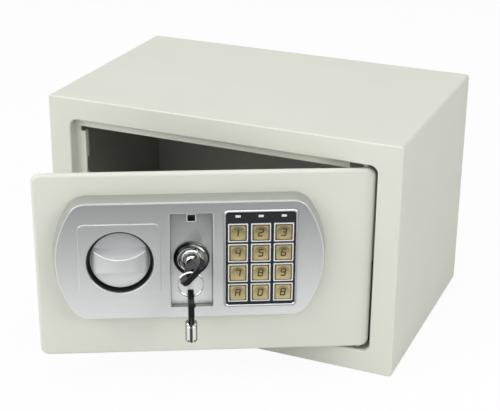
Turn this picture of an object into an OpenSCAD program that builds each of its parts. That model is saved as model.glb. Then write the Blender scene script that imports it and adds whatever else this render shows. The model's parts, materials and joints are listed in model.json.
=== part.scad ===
// In-room safe: steel cabinet, hinged door with bolt work, keypad, knob and override lock.
// Frame: X to the right, Y to the back, Z up; origin at the centre of the cabinet's underside.

/* [Cabinet] */
// Outside width
cab_w = 310; // [300:1:340]
// Outside depth
cab_d = 200; // [180:1:240]
// Outside height
cab_h = 200; // [195:1:240]
// Sheet thickness of the cabinet
sheet = 2; // [1.5:0.1:2.5]
// Outside radius of the long folded edges
fold_r = 2.5; // [2.5:0.5:4]
// Width of the front opening
mouth_w = 270; // [268:1:272]
// Height of the front opening
mouth_h = 162; // [160:1:164]
// Corner radius of the front opening
mouth_r = 6.5; // [6:0.5:9]

/* [Fixing holes] */
// Distance between the two holes in the base and in the back
anchor_pitch = 120; // [100:5:200]
// Radius of the fixing holes
anchor_r = 5; // [4:0.5:6.5]

/* [Door] */
// Width of the door plate
door_w = 264.6; // [262:0.1:265]
// Height of the door plate
door_h = 155.5; // [152:0.5:157]
// Thickness of the door plate
door_t = 4; // [3:0.5:4]
// Corner radius of the door plate
door_r = 7; // [4:0.5:8]
// Angle at which the door stands open
door_open = 26.9; // [0:0.1:90]

/* [Locking bolts] */
// Radius of each bolt
bolt_r = 6; // [5:0.5:6]
// Distance between the two bolts
bolt_pitch = 76; // [60:1:80]
// Travel of the bolts
bolt_travel = 14; // [10:1:14]

/* [Control panel] */
// How far the panel stands proud of the door
panel_t = 12; // [11:0.5:12]
// Width across the panel's bowed ends
panel_w = 208.6; // [204:0.2:212]
// Height of the panel's face
panel_h = 98.2; // [96:0.2:100]
// Radius of the bowed ends
panel_end_r = 77.7; // [70:0.1:90]
// How far the panel's foot spreads beyond its face
panel_draft = 2.3; // [1.5:0.1:3]

/* [Knob] */
// Radius of the knob
knob_r = 23.4; // [22:0.1:24]
// Angle through which the knob turns
knob_turn = 60; // [60:1:60]

/* [Keypad] */
// Spacing of the key columns
key_dx = 17.7; // [17:0.1:17.8]
// Spacing of the key rows
key_dz = 17.1; // [16.6:0.1:17.2]
// Width of a key cap
key_w = 11.7; // [11.4:0.1:12.4]

/* [Override keys] */
// Angle of the inserted key's bow from level
bow_angle = 48; // [40:1:50]
// Width of a key's bow
bow_w = 23; // [20:0.5:24]
// Length of a key's bow
bow_l = 24.5; // [24:0.5:26]
// Angle through which the key turns
key_turn = 72; // [60:1:72]
// Outer radius of the tubular key barrel
key_tube_r = 4.6; // [4.4:0.05:4.7]

/* [Hidden] */

$fn = 64;
eps = 0.1;

// Colours
cream = [0.84, 0.85, 0.80];
steel = [0.62, 0.63, 0.64];
silver = [0.74, 0.76, 0.79];
chrome = [0.85, 0.86, 0.88];
black = [0.08, 0.08, 0.09];
gold = [0.75, 0.67, 0.45];
navy = [0.16, 0.18, 0.23];

// Cabinet
front_y = -cab_d / 2;
mid_z = cab_h / 2;
stop_y = 8.8;          // front of the stop flange, behind the cabinet front
stop_x = 125.6;        // inner edge of the stop flange on the free side
stop_z = 73;           // half height inside the stop flange
stop_end_x = 110;      // the stop flange ends here, clear of the door's hinge edge
stop_notch = 4.4;      // square relief at the stop flange's free corners
lip_y = 14.1;          // back of the return lip
pocket_y = 20;         // depth of the hinge pocket
frame_t = 2;

// Door, in its own frame: X from the free edge, Y into the safe, Z up, front face at Y = 0
door_inset = 0.3;
door_x0 = -134;
door_z = 99.75;
back_anchor_z = 50;
pivot_s = 257.3;
pivot_y = 7;
pin_r = 2.5;
pin_gap = 0.05;
block_z = [[34, 54], [146, 166]];
pivot = [door_x0 + pivot_s, front_y + door_inset + pivot_y, 0];

// Housing of the bolt work, behind the door plate
box_s = [10, 224];
box_z = [31, 169];
box_depth = 26;
box_t = 1.2;
box_flange = 6;
housing_screw_s = [30, 117, 204];
housing_screw_z = [box_z[0] - 3.2, box_z[1] + 3.2];

// Bolt work
bolt_y = 17.1;
bolt_z = [100 - bolt_pitch / 2, 100 + bolt_pitch / 2];
bolt_tip = 9.4;
carriage_s = 27;
carriage_y = [9, 11];
crank_r = bolt_travel;
stud_s = 44;
stud_z = [66, 134];

// Panel
panel_s = 120.3;
panel_z = 108.9;
panel_corner = 14;
knob_s = 66;
knob_z = 108.5;
knob_face = 7.5;       // how far the knob's disc stands out from the door
well_r = knob_r + 2.3;
lock_s = 121.3;
lock_z = 108.5;
recess = [33, 80];
recess_z = 108.5;
recess_floor = 6;
pad_s = [34.3, 97.2];
pad_z = [79.6, 140.7];
catch_at = [121.5, 142.6];
screw_at = [[38, 146], [38, 72], [210, 141], [210, 77]];

// Keypad
pad_c = [174.8, 109.4];
pad_size = [53, 78];
pad_r = 2.4;
key_c = [174.8, 106.5];
frame_w = 15.4;
hole_w = 12.8;
lamp_z = 145.8;

// Lock and keys
plug_r = 6;
bow_t = 4.6;
bow_y = -15.9;
eye_b = 19.6;
eye_r = 3.9;
tube_l = 15.9;
// Half outline of a bow: shoulder, side, and the cut corner at its end
bow_side = [[7, 2], [bow_w / 2 - 1, 3.5], [bow_w / 2, 5],
  [bow_w / 2, bow_l - 5], [bow_w / 2 - 1, bow_l - 3.5], [6.5, bow_l]];
bow_back = [for (k = [len(bow_side) - 1:-1:0]) bow_side[k]];
wire_r = 0.68;
ring_r = 9.9;
ring_at = [119.9, bow_y - eye_b, 100.3];
spare_drop = 2.6;
spare_z = ring_at[2] - ring_r - spare_drop - eye_b;

// Solenoid
coil_s = lock_s;
coil_y = 11.5;
coil_z = [42, 70];

// Batteries and boards
tray_s = [142.8, 206.8];
tray_z = [40, 98];
aa_r = 7.25;
aa_l = 50.5;
button_at = [200, 142];

// ---- Helpers ----

module rrect(w, h, r) {
  square([w - 2 * r, h], center = true);
  square([w, h - 2 * r], center = true);
  for (x = [-1, 1], y = [-1, 1]) translate([x * (w / 2 - r), y * (h / 2 - r)]) circle(r);
}

// Extrude a drawing of X and Z along Y, from y0 to y1
module along_y(y0, y1) {
  translate([0, y1, 0]) rotate([90, 0, 0]) linear_extrude(y1 - y0) children();
}

// Round bar along Y
module bar_y(s, z, r, y0, y1) {
  translate([s, y1, z]) rotate([90, 0, 0]) cylinder(r = r, h = y1 - y0);
}

// Round bar along X
module bar_x(y, z, r, x0, x1) {
  translate([x0, y, z]) rotate([0, 90, 0]) cylinder(r = r, h = x1 - x0);
}

// Box given by its ranges
module span(x, y, z) {
  translate([x[0], y[0], z[0]]) cube([x[1] - x[0], y[1] - y[0], z[1] - z[0]]);
}

// Places a part drawn in the door's own frame
module on_door() {
  translate(pivot) rotate([0, 0, door_open]) translate([-pivot_s, -pivot_y, 0]) children();
}

// ---- Cabinet ----

module outer_shell() {
  color(cream) difference() {
    translate([0, 0, mid_z]) along_y(front_y, -front_y) rrect(cab_w, cab_h, fold_r);
    translate([0, 0, mid_z]) along_y(front_y + sheet, -front_y + eps)
      rrect(cab_w - 2 * sheet, cab_h - 2 * sheet, fold_r - sheet);
    translate([0, 0, mid_z]) along_y(front_y - eps, front_y + sheet + eps) rrect(mouth_w, mouth_h, mouth_r);
    for (x = [-1, 1]) translate([x * anchor_pitch / 2, 0, -eps])
      cylinder(r = anchor_r, h = sheet + 2 * eps);
  }
}

module back_panel() {
  color(cream) difference() {
    translate([0, 0, mid_z]) along_y(-front_y - sheet, -front_y)
      rrect(cab_w - 2 * sheet, cab_h - 2 * sheet, fold_r - sheet);
    for (x = [-1, 1])
      bar_y(x * anchor_pitch / 2, back_anchor_z, anchor_r, -front_y - sheet - eps, -front_y + eps);
  }
}

// Rebate walls around the mouth, as deep as y1
module rebate(y1) {
  translate([0, 0, mid_z]) difference() {
    along_y(front_y + sheet, front_y + y1)
      rrect(mouth_w + 2 * frame_t, mouth_h + 2 * frame_t, mouth_r + frame_t);
    along_y(front_y, front_y + y1 + eps) rrect(mouth_w, mouth_h, mouth_r);
  }
}

module front_frame() {
  y = front_y;
  stop_back = y + stop_y + frame_t;
  color(cream) difference() {
    union() {
      rebate(stop_y + frame_t);
      intersection() {
        rebate(pocket_y);
        span([stop_end_x, cab_w], [y, 0], [0, cab_h]);
      }
      difference() {
        translate([0, 0, mid_z]) along_y(y + stop_y, stop_back)
          rrect(mouth_w + frame_t, mouth_h + frame_t, mouth_r + frame_t / 2);
        span([-stop_x, cab_w], [y, 0], [mid_z - stop_z, mid_z + stop_z]);
        span([stop_end_x, cab_w], [y, 0], [0, cab_h]);
      }
      span([-stop_x - frame_t, -stop_x], [y + stop_y, y + lip_y],
           [mid_z - stop_z - frame_t, mid_z + stop_z + frame_t]);
      for (z = [mid_z + stop_z, mid_z - stop_z - frame_t])
        span([-stop_x - frame_t, stop_end_x], [y + stop_y, y + lip_y], [z, z + frame_t]);
    }
    for (z = bolt_z)
      span([-stop_x - 3, -stop_x + 1], [y + stop_y + frame_t, y + lip_y + 1],
        [z - bolt_r - 1, z + bolt_r + 1]);
    for (z = [mid_z - stop_z, mid_z + stop_z - stop_notch])
      span([-stop_x - stop_notch, -stop_x + eps], [y + stop_y - 1, y + lip_y + 1], [z, z + stop_notch]);
    translate([pivot[0], pivot[1], -1]) cylinder(r = 4.52, h = cab_h + 2);
  }
}

module floor_mat() {
  color([0.2, 0.2, 0.21]) difference() {
    span([-150, 150], [front_y + 24, -front_y - 4], [sheet, sheet + 2.5]);
    for (x = [-1, 1]) translate([x * anchor_pitch / 2, 0, 0]) cylinder(r = anchor_r + 3, h = 10);
  }
}

// Upper and lower bush for the door's hinge pins
module hinge_bushes() {
  depth = 4;
  color(steel) for (z = [mid_z + mouth_h / 2, mid_z - mouth_h / 2 - depth])
    translate([pivot[0], pivot[1], z]) difference() {
      cylinder(r = 4.5, h = depth);
      translate([0, 0, -eps]) cylinder(r = pin_r + pin_gap, h = depth + 2 * eps);
    }
}

// ---- Door plate and hinge ----

module door_plate() {
  color(cream) on_door() difference() {
    translate([door_w / 2, 0, door_z]) along_y(0, door_t) rrect(door_w, door_h, door_r);
    bar_y(knob_s, knob_z, 6.02, -eps, door_t + eps);
    bar_y(lock_s, lock_z, 9.4, -eps, door_t + eps);
    bar_y(pad_c[0], 104, 7, -eps, door_t + eps);
    for (p = screw_at) bar_y(p[0], p[1], 2.2, -eps, door_t + eps);
    for (s = housing_screw_s, z = housing_screw_z) bar_y(s, z, 2, 1, door_t + eps);
  }
}

module hinge_blocks() {
  color(steel) on_door() for (z = block_z) difference() {
    span([pivot_s - 6, pivot_s + 6], [door_t, 14], z);
    translate([pivot_s, pivot_y, z[0] - eps]) cylinder(r = pin_r, h = z[1] - z[0] + 2 * eps);
  }
}

module hinge_pins() {
  top = mid_z + mouth_h / 2 + 4;
  color(steel) on_door() {
    translate([pivot_s, pivot_y, block_z[1][0]]) cylinder(r = pin_r, h = top - block_z[1][0]);
    translate([pivot_s, pivot_y, cab_h - top]) cylinder(r = pin_r, h = block_z[0][1] - cab_h + top);
  }
}

module bolt_housing() {
  s = box_s;
  z = box_z;
  color(cream) on_door() difference() {
    union() {
      span(s, [door_t, box_depth], z);
      span(s, [door_t, door_t + box_t], [z[0] - box_flange, z[1] + box_flange]);
    }
    span([s[0] + box_t, s[1] - box_t], [door_t - eps, box_depth - box_t], [z[0] + box_t, z[1] - box_t]);
    for (b = bolt_z) bar_x(bolt_y, b, bolt_r + 1, s[0] - eps, s[0] + box_t + eps);
    span([tray_s[0] - 3, tray_s[1] + 3], [box_depth - 3, box_depth + eps], [tray_z[0] - 3, tray_z[1] + 3]);
    bar_y(button_at[0], button_at[1], 3.6, box_depth - 3, box_depth + eps);
    for (a = housing_screw_s, b = housing_screw_z) bar_y(a, b, 2.1, door_t - eps, door_t + box_t + eps);
  }
}

module pan_screw(s, z, seat, tip) {
  bar_y(s, z, 1.9, tip, seat + 1);
  bar_y(s, z, 2.8, seat, seat + 2.2);
}

module housing_screws() {
  color(steel) on_door() for (s = housing_screw_s, z = housing_screw_z)
    pan_screw(s, z, door_t + box_t, 1.2);
}

// ---- Control panel ----

// Outline of the panel's face, grown all round
module panel_outline(grow) {
  inset = panel_w / 2 - panel_end_r;
  offset(r = panel_corner + grow, $fn = 48) offset(delta = -panel_corner) intersection() {
    square([panel_w, panel_h], center = true);
    hull() for (x = [-1, 1]) translate([x * inset, 0]) circle(panel_end_r, $fn = 120);
  }
}

module panel_block(y0, y1, foot, face) {
  translate([panel_s, 0, panel_z]) hull() {
    along_y(y1 - 0.5, y1) panel_outline(foot);
    along_y(y0, y0 + 0.5) panel_outline(face);
  }
}

module knob_pad() {
  w = pad_s[1] - pad_s[0];
  h = pad_z[1] - pad_z[0];
  intersection() {
    translate([pad_s[0] + w / 2, 0, pad_z[0] + h / 2]) along_y(-panel_t - 2, -panel_t + 0.5) rrect(w, h, 5);
    translate([pad_s[0], 0, 0]) rotate([90, 0, 90]) linear_extrude(w)
      polygon([[-panel_t, pad_z[0]], [-panel_t - 1, pad_z[1]], [-panel_t + 0.5, pad_z[1]],
        [-panel_t + 0.5, pad_z[0]]]);
  }
}

module control_panel() {
  wall = 2;
  t = panel_t;
  color(silver) on_door() difference() {
    union() {
      difference() {
        union() {
          panel_block(-t, 0, panel_draft, 0);
          knob_pad();
        }
        panel_block(-t + wall, 1, panel_draft - wall, -wall);
      }
      translate([lock_s, 0, recess_z]) along_y(-t + 0.5, -recess_floor + 1.5)
        square([recess[0] + 3, recess[1] + 3], center = true);
      bar_y(knob_s, knob_z, well_r + 1.6, -t + 0.5, -2);
      for (p = screw_at) bar_y(p[0], p[1], 3.6, -t + 0.5, 0);
      for (x = [-1, 1], z = [-1, 1]) bar_y(pad_c[0] + x * 26.4, pad_c[1] + z * 37.5, 1.3, -t + 1, -6.7);
    }
    translate([lock_s, 0, recess_z]) along_y(-t - 2, -recess_floor) square(recess, center = true);
    bar_y(lock_s, lock_z, 9.4, -t, 0);
    translate([catch_at[0], 0, catch_at[1]]) along_y(-t, 0) square([6.1, 5.4], center = true);
    bar_y(knob_s, knob_z, well_r, -t - 2, -3.2);
    bar_y(knob_s, knob_z, 5, -t, 0);
    translate([pad_c[0], 0, pad_c[1]]) {
      along_y(-t - 2, -t + 1) square([pad_size[0] + 0.4, pad_size[1] + 0.4], center = true);
      along_y(-t - 2, -t + wall + 1) square([51.6, 75], center = true);
    }
    for (p = screw_at) bar_y(p[0], p[1], 2, -t + wall, 1);
  }
}

module panel_screws() {
  color(steel) on_door() for (p = screw_at) pan_screw(p[0], p[1], door_t, -7);
}

// Square socket that catches the lock cover
module cover_catch() {
  color(black) on_door() translate([catch_at[0], 0, catch_at[1]]) difference() {
    along_y(-recess_floor - 0.2, -2) square([6, 5.3], center = true);
    along_y(-recess_floor - 1, -2.8) square([4.8, 4.1], center = true);
  }
}

// ---- Keypad ----

// Repeats a shape at every key
module at_keys() {
  for (i = [0:11]) at_key(i) children();
}

module at_key(i) {
  translate([key_c[0] + (i % 3 - 1) * key_dx, 0, key_c[1] + (1.5 - floor(i / 3)) * key_dz]) children();
}

module at_lamps() {
  for (c = [-1:1]) translate([key_c[0] + c * key_dx, 0, lamp_z]) children();
}

module keypad_bezel() {
  color(silver) on_door() translate([pad_c[0], 0, pad_c[1]]) difference() {
    along_y(-panel_t - 1.3, -panel_t) rrect(57.5, 82.8, 3.5);
    along_y(-panel_t - 2, 0) rrect(pad_size[0] + 0.2, pad_size[1] + 0.2, pad_r - 0.2);
  }
}

module keypad_overlay() {
  color(navy) on_door() difference() {
    translate([pad_c[0], 0, pad_c[1]])
      along_y(-panel_t - 0.8, -panel_t + 1) rrect(pad_size[0], pad_size[1], pad_r);
    at_keys() along_y(-panel_t - 2, 0) square(hole_w, center = true);
    at_lamps() along_y(-panel_t - 2, 0) square([4.2, 2.1], center = true);
  }
}

module key_frames() {
  color(silver) on_door() at_keys() difference() {
    along_y(-panel_t - 1.6, -panel_t - 0.8) square(frame_w, center = true);
    along_y(-panel_t - 2, 0) square(hole_w, center = true);
  }
}

module indicator_windows() {
  color([0.9, 0.9, 0.86]) on_door() at_lamps()
    along_y(-panel_t - 0.9, -8.6) square([4, 1.9], center = true);
}

module keypad_mat() {
  color([0.3, 0.3, 0.32]) on_door() {
    translate([key_c[0], 0, key_c[1]]) along_y(-7.6, -6.8) square([50, 68], center = true);
    at_keys() bar_y(0, 0, 4, -8.5, -7.5);
  }
}

module keypad_board() {
  color([0.1, 0.35, 0.2]) on_door() {
    translate([pad_c[0], 0, pad_c[1]]) along_y(-6.7, -5.1) square([56, 80], center = true);
    at_lamps() along_y(-8.4, -6.6) square([3, 1.5], center = true);
    span([pad_c[0] - 6, pad_c[0] + 6], [-5.2, -2], [94, 100]);
  }
}

// One key: dished cap, neck through the overlay, and a foot that keeps it in
module key_cap(i) {
  top = -panel_t - 2.2;
  dish_r = 40;
  color(gold) on_door() at_key(i) {
    difference() {
      along_y(top, -panel_t + 1.3) rrect(key_w, key_w, 0.8);
      translate([0, top - dish_r + 0.5, 0]) sphere(r = dish_r);
    }
    along_y(-panel_t + 1.2, -panel_t + 2.2) square(key_w + 1.4, center = true);
  }
}

module key_1() { key_cap(0); }
module key_2() { key_cap(1); }
module key_3() { key_cap(2); }
module key_4() { key_cap(3); }
module key_5() { key_cap(4); }
module key_6() { key_cap(5); }
module key_7() { key_cap(6); }
module key_8() { key_cap(7); }
module key_9() { key_cap(8); }
module key_a() { key_cap(9); }
module key_0() { key_cap(10); }
module key_b() { key_cap(11); }

// ---- Knob and bolt work ----

// Grip of the knob: a bar that bows outwards along its length and narrows at the middle
module knob_grip() {
  waist = 5.6;
  end = 10.8;
  bow = 12;
  foot = 4.2;
  reach = knob_r - 0.6;
  bow_r = (reach * reach + bow * bow) / (2 * bow);
  side_r = (knob_r * knob_r + (end - waist) * (end - waist)) / (2 * (end - waist));
  difference() {
    intersection() {
      bar_y(0, 0, reach, -knob_face - bow, -knob_face + 1);
      translate([0, bow_r - knob_face - bow, -knob_r]) cylinder(r = bow_r, h = 2 * knob_r, $fn = 180);
    }
    for (z = [-1, 1]) translate([0, -knob_face + 0.5, z * (waist + foot + side_r)]) rotate([90, 0, 0])
      cylinder(r1 = side_r, r2 = side_r + foot, h = bow + 1.5, $fn = 120);
  }
}

module knob() {
  color(silver) on_door() translate([knob_s, 0, knob_z]) difference() {
    union() {
      bar_y(0, 0, knob_r, -knob_face, -3.8);
      knob_grip();
    }
    bar_y(0, 0, 4.02, -9, 0);
  }
}

module knob_spindle() {
  color(steel) on_door() translate([knob_s, 0, knob_z]) bar_y(0, 0, 4, -8.9, 8.9);
}

module knob_bush() {
  color([0.85, 0.85, 0.8]) on_door() translate([knob_s, 0, knob_z]) difference() {
    union() {
      bar_y(0, 0, 6, -0.5, door_t);
      bar_y(0, 0, 8, -1.5, 0);
    }
    bar_y(0, 0, 4.05, -5, 9);
  }
}

// Crank: its pin stands half the knob's turn away from straight up
module knob_crank() {
  color(steel) on_door() translate([knob_s, 0, knob_z]) rotate([0, knob_turn / 2, 0]) difference() {
    union() {
      bar_y(0, 0, 9, 4.6, 7.8);
      span([-5, 5], [4.6, 7.8], [0, crank_r]);
      bar_y(0, crank_r, 5, 4.6, 7.8);
      bar_y(0, crank_r, 2.5, 7.7, 12);
    }
    bar_y(0, 0, 4.02, 4, 9);
  }
}

module spindle_clip() {
  color(steel) on_door() translate([knob_s, 0, knob_z]) difference() {
    bar_y(0, 0, 6.5, 7.9, 8.7);
    bar_y(0, 0, 4.02, 7, 9);
    span([-1.5, 1.5], [7, 9], [-8, 0]);
  }
}

module bolt_carriage() {
  y = carriage_y;
  tail_end = 130.5;
  pin_s = knob_s + crank_r * sin(knob_turn / 2);
  pin_z = knob_z + crank_r;
  color(steel) on_door() difference() {
    union() {
      span([carriage_s, 96], y, [52, 148]);
      span([carriage_s, carriage_s + 2], [y[0], 23.2], [52, 148]);
      span([90, tail_end], y, [86, 96]);
    }
    span([pin_s - 2.7, pin_s + 2.7], [5, 14], [pin_z - 5.5, pin_z + 3.5]);
    for (z = stud_z) span([stud_s - 3.4, stud_s + bolt_travel + 3.4], [5, 14], [z - 3.2, z + 3.2]);
    for (z = bolt_z) bar_x(bolt_y, z, 4.03, carriage_s - 1, carriage_s + 3);
    span([coil_s - 4.8, coil_s + 4.8], [5, 14], [85, 90.2]);
    bar_y(78, 84, 9, 5, 14);
  }
}

module locking_bolts() {
  color(chrome) on_door() for (z = bolt_z) {
    bar_x(bolt_y, z, bolt_r, bolt_tip, carriage_s);
    bar_x(bolt_y, z, 4, carriage_s - 1, carriage_s + 4);
  }
}

module bolt_bushes() {
  color(black) on_door() for (z = bolt_z) difference() {
    union() {
      bar_x(bolt_y, z, bolt_r + 0.98, box_s[0], box_s[0] + box_t + 1);
      bar_x(bolt_y, z, bolt_r + 1.6, box_s[0] + box_t, box_s[0] + box_t + 1.2);
    }
    bar_x(bolt_y, z, bolt_r + 0.08, box_s[0] - 1, box_s[0] + 5);
  }
}

module guide_studs() {
  color(steel) on_door() for (z = stud_z) {
    bar_y(stud_s, z, 3, door_t, 12);
    bar_y(stud_s, z, 5, door_t, 8.8);
    bar_y(stud_s, z, 5, 11.3, 12.6);
  }
}

// ---- Override lock and keys ----

module lock_barrel() {
  color(chrome) on_door() translate([lock_s, 0, lock_z]) difference() {
    union() {
      rotate([90, 0, 0]) rotate_extrude() polygon(concat(
        [[0, recess_floor], [14.1, recess_floor]],
        [for (a = [0:15:90]) [11.9 + 2.2 * cos(a), 9.1 + 2.5 * sin(a)]],
        [for (k = [0:6]) [11.6 - 5 * k / 6, 11.4 - 3.2 * sqrt(k / 6)]],
        [[0, 8.2]]));
      bar_y(0, 0, 9.3, -7, 13);
    }
    bar_y(0, 0, plug_r + 0.05, -14, 14);
  }
}

module lock_nut() {
  color(steel) on_door() translate([lock_s, 0, lock_z]) difference() {
    rotate([90, 0, 0]) translate([0, 0, -9]) cylinder(r = 13.5, h = 5, $fn = 6);
    bar_y(0, 0, 9.35, 3, 10);
  }
}

module lock_plug() {
  color(steel) on_door() translate([lock_s, 0, lock_z]) {
    difference() {
      bar_y(0, 0, plug_r, -7.8, 13.1);
      difference() {
        bar_y(0, 0, key_tube_r + 0.15, -9, 6);
        bar_y(0, 0, 2.9, -10, 7);
      }
    }
    bar_y(0, 0, 3.45, 13, 17);
  }
}

// Cam: it stands short of straight down by the key's turn
module lock_cam() {
  reach = 31.2;
  color(steel) on_door() translate([lock_s, 0, lock_z]) rotate([0, key_turn - 90, 0]) difference() {
    union() {
      bar_y(0, 0, 7, 13.3, 15.3);
      span([-reach + 4, 0], [13.3, 15.3], [-4, 4]);
      bar_y(-reach + 4, 0, 4, 13.3, 15.3);
    }
    bar_y(0, 0, 3.5, 12, 16);
  }
}

// Bow of a tubular key: X across, Y from the barrel to the end
module key_bow() {
  difference() {
    translate([0, 0, -bow_t / 2]) linear_extrude(bow_t) difference() {
      union() {
        polygon([for (side = [1, -1], p = side > 0 ? bow_side : bow_back) [side * p[0], p[1]]]);
        square([12, 12], center = true);
      }
      translate([-bow_w, -bow_w]) square([2 * bow_w, bow_w]);
      translate([0, eye_b]) circle(eye_r);
    }
    translate([-3.1, -1, -0.8]) cube([6.2, 9.1, 1.6]);
  }
}

// Tubular barrel of a key, with the tang that holds the bow
module key_tube() {
  difference() {
    rotate([90, 0, 0]) cylinder(r = key_tube_r, h = tube_l);
    translate([0, -4, 0]) rotate([90, 0, 0]) cylinder(r = 3, h = tube_l);
    translate([-1, -tube_l - 1, 2]) cube([2, 4, 3]);
  }
  translate([-3, -eps, -0.7]) cube([6, 8, 1.4]);
}

module at_inserted_key() {
  on_door() translate([lock_s, bow_y, lock_z]) rotate([0, -bow_angle, 0]) rotate([180, 0, 0]) children();
}

module at_spare_key() {
  on_door() translate([ring_at[0], ring_at[1], spare_z]) rotate([0, 0, 90]) rotate([90, 0, 0]) children();
}

module inserted_key_bow() { color(black) at_inserted_key() key_bow(); }
module inserted_key_tube() { color(chrome) at_inserted_key() key_tube(); }
module spare_key_bow() { color(black) at_spare_key() key_bow(); }
module spare_key_tube() { color(chrome) at_spare_key() key_tube(); }

module split_ring() {
  color(chrome) on_door() translate(ring_at) rotate([90, 0, 0]) for (z = [-0.6, 0.6])
    rotate_extrude() translate([ring_r, z]) circle(wire_r, $fn = 24);
}

// ---- Solenoid, batteries and electronics ----

module solenoid_frame() {
  s = [coil_s - 10, coil_s + 10];
  color(steel) on_door() difference() {
    union() {
      span(s, [door_t, door_t + 1.2], coil_z);
      span(s, [door_t, 19], [coil_z[0], coil_z[0] + 1.2]);
      span(s, [door_t, 19], [coil_z[1] - 1.2, coil_z[1]]);
    }
    translate([coil_s, coil_y, coil_z[1] - 3]) cylinder(r = 3.1, h = 5);
  }
}

module solenoid_coil() {
  color([0.6, 0.3, 0.15]) on_door() translate([coil_s, coil_y, 0]) difference() {
    translate([0, 0, coil_z[0] + 1.3]) cylinder(r = 6.2, h = coil_z[1] - coil_z[0] - 2.6);
    translate([0, 0, coil_z[0] + 3]) cylinder(r = 3.1, h = 30);
  }
}

module solenoid_plunger() {
  head_z = coil_z[1] + 4;
  color(chrome) on_door() {
    translate([coil_s, coil_y, coil_z[0] + 4]) cylinder(r = 3, h = head_z - coil_z[0] - 3.9);
    span([coil_s - 6, coil_s + 6], [8.7, 16.5], [head_z, head_z + 3]);
    span([coil_s - 4, coil_s + 4], [8.7, 11.3], [head_z + 2.9, head_z + 11]);
  }
}

// Coil spring under the plunger's head, drawn as stacked turns
module solenoid_spring() {
  turns = 3;
  wire = 0.4;
  gap = (4 - 2 * wire - 0.2) / turns;
  color(steel) on_door() translate([coil_s, coil_y, coil_z[1] + wire + 0.1]) {
    for (k = [0:turns]) translate([0, 0, k * gap])
      rotate_extrude() translate([4, 0]) circle(wire, $fn = 24);
    translate([4, 0, 0]) cylinder(r = wire / 2, h = turns * gap);
  }
}

module battery_holder() {
  color(black) on_door() difference() {
    span(tray_s, [6, 22], tray_z);
    span([tray_s[0] + 1.5, tray_s[1] - 1.5], [7.2, 23], [tray_z[0] + 1.5, tray_z[1] - 1.5]);
  }
}

module batteries() {
  gap = 0.3;
  pitch = 2 * aa_r + gap;
  color([0.2, 0.45, 0.3]) on_door() for (k = [0:3])
    translate([(tray_s[0] + tray_s[1]) / 2 + (k - 1.5) * pitch, 7.4 + aa_r, tray_z[0] + 2.5]) {
      cylinder(r = aa_r, h = aa_l - 1.2);
      cylinder(r = 2.6, h = aa_l);
    }
}

module battery_cover() {
  s = [tray_s[0] - 2.7, tray_s[1] + 2.7];
  z = [tray_z[0] - 2.7, tray_z[1] + 2.7];
  mid_s = (s[0] + s[1]) / 2;
  color(black) on_door() {
    difference() {
      span(s, [24.6, box_depth + 1], z);
      for (k = [0:4]) translate([0, 0, z[1] - 8 - 3 * k])
        span([mid_s - 9, mid_s + 9], [box_depth + 0.4, 30], [0, 1.4]);
    }
    for (x = [s[0] + 4, s[1] - 6]) span([x, x + 2], [22.4, 24.7], [z[0] + 3, z[1] - 3]);
  }
}

module control_board() {
  color([0.1, 0.35, 0.2]) on_door() {
    span([142, 218], [9, 10.6], [108, 164]);
    for (s = [147, 213], z = [113, 159]) bar_y(s, z, 2.5, door_t, 9.1);
    span([150, 164], [10.5, 13], [140, 154]);
    span([button_at[0] - 3, button_at[0] + 3], [10.5, 17.8], [button_at[1] - 3, button_at[1] + 3]);
    bar_y(180, 125, 6, 10.5, 17);
  }
}

module reset_button() {
  color([0.75, 0.12, 0.1]) on_door() {
    bar_y(button_at[0], button_at[1], 3.4, 20, box_depth + 2.5);
    bar_y(button_at[0], button_at[1], 4.6, 22, 24.4);
  }
}

// Round wire through a list of points
module wire_run(points, r) {
  for (i = [0:len(points) - 2])
    hull() for (p = [points[i], points[i + 1]]) translate(p) sphere(r = r, $fn = 12);
}

module wiring() {
  color([0.6, 0.1, 0.1]) on_door() {
    wire_run([[176, -0.7, 98.6], [175, 0, 103], [175, 7, 104], [175, 12, 107], [172, 12, 112]], 1.2);
    wire_run([[134, 8, 62], [136, 8, 75], [136, 8, 112], [141, 12.2, 116], [146, 12, 118]], 0.9);
    wire_run([[150, 4.9, 100], [152, 7.5, 104], [152, 12, 107], [154, 12, 112]], 0.9);
  }
}

// ---- Assembly ----

outer_shell();
back_panel();
front_frame();
floor_mat();
hinge_bushes();
door_plate();
hinge_blocks();
hinge_pins();
bolt_housing();
housing_screws();
control_panel();
panel_screws();
cover_catch();
keypad_bezel();
keypad_overlay();
key_frames();
indicator_windows();
keypad_mat();
keypad_board();
key_1();
key_2();
key_3();
key_4();
key_5();
key_6();
key_7();
key_8();
key_9();
key_a();
key_0();
key_b();
knob();
knob_spindle();
knob_crank();
knob_bush();
spindle_clip();
bolt_carriage();
locking_bolts();
bolt_bushes();
guide_studs();
lock_barrel();
lock_nut();
lock_plug();
lock_cam();
inserted_key_bow();
inserted_key_tube();
split_ring();
spare_key_bow();
spare_key_tube();
solenoid_frame();
solenoid_coil();
solenoid_plunger();
solenoid_spring();
battery_holder();
batteries();
battery_cover();
control_board();
reset_button();
wiring();
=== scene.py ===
"""In-room safe: the looks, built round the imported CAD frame.

Cabinet pieces are drawn in the row frame and door pieces in the door's own frame, both in
millimetres: X from the door's free edge, Y into the safe from the door's front face, Z up.
"""
import json
import math

import bmesh
import bpy
from mathutils import Matrix, Vector


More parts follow.
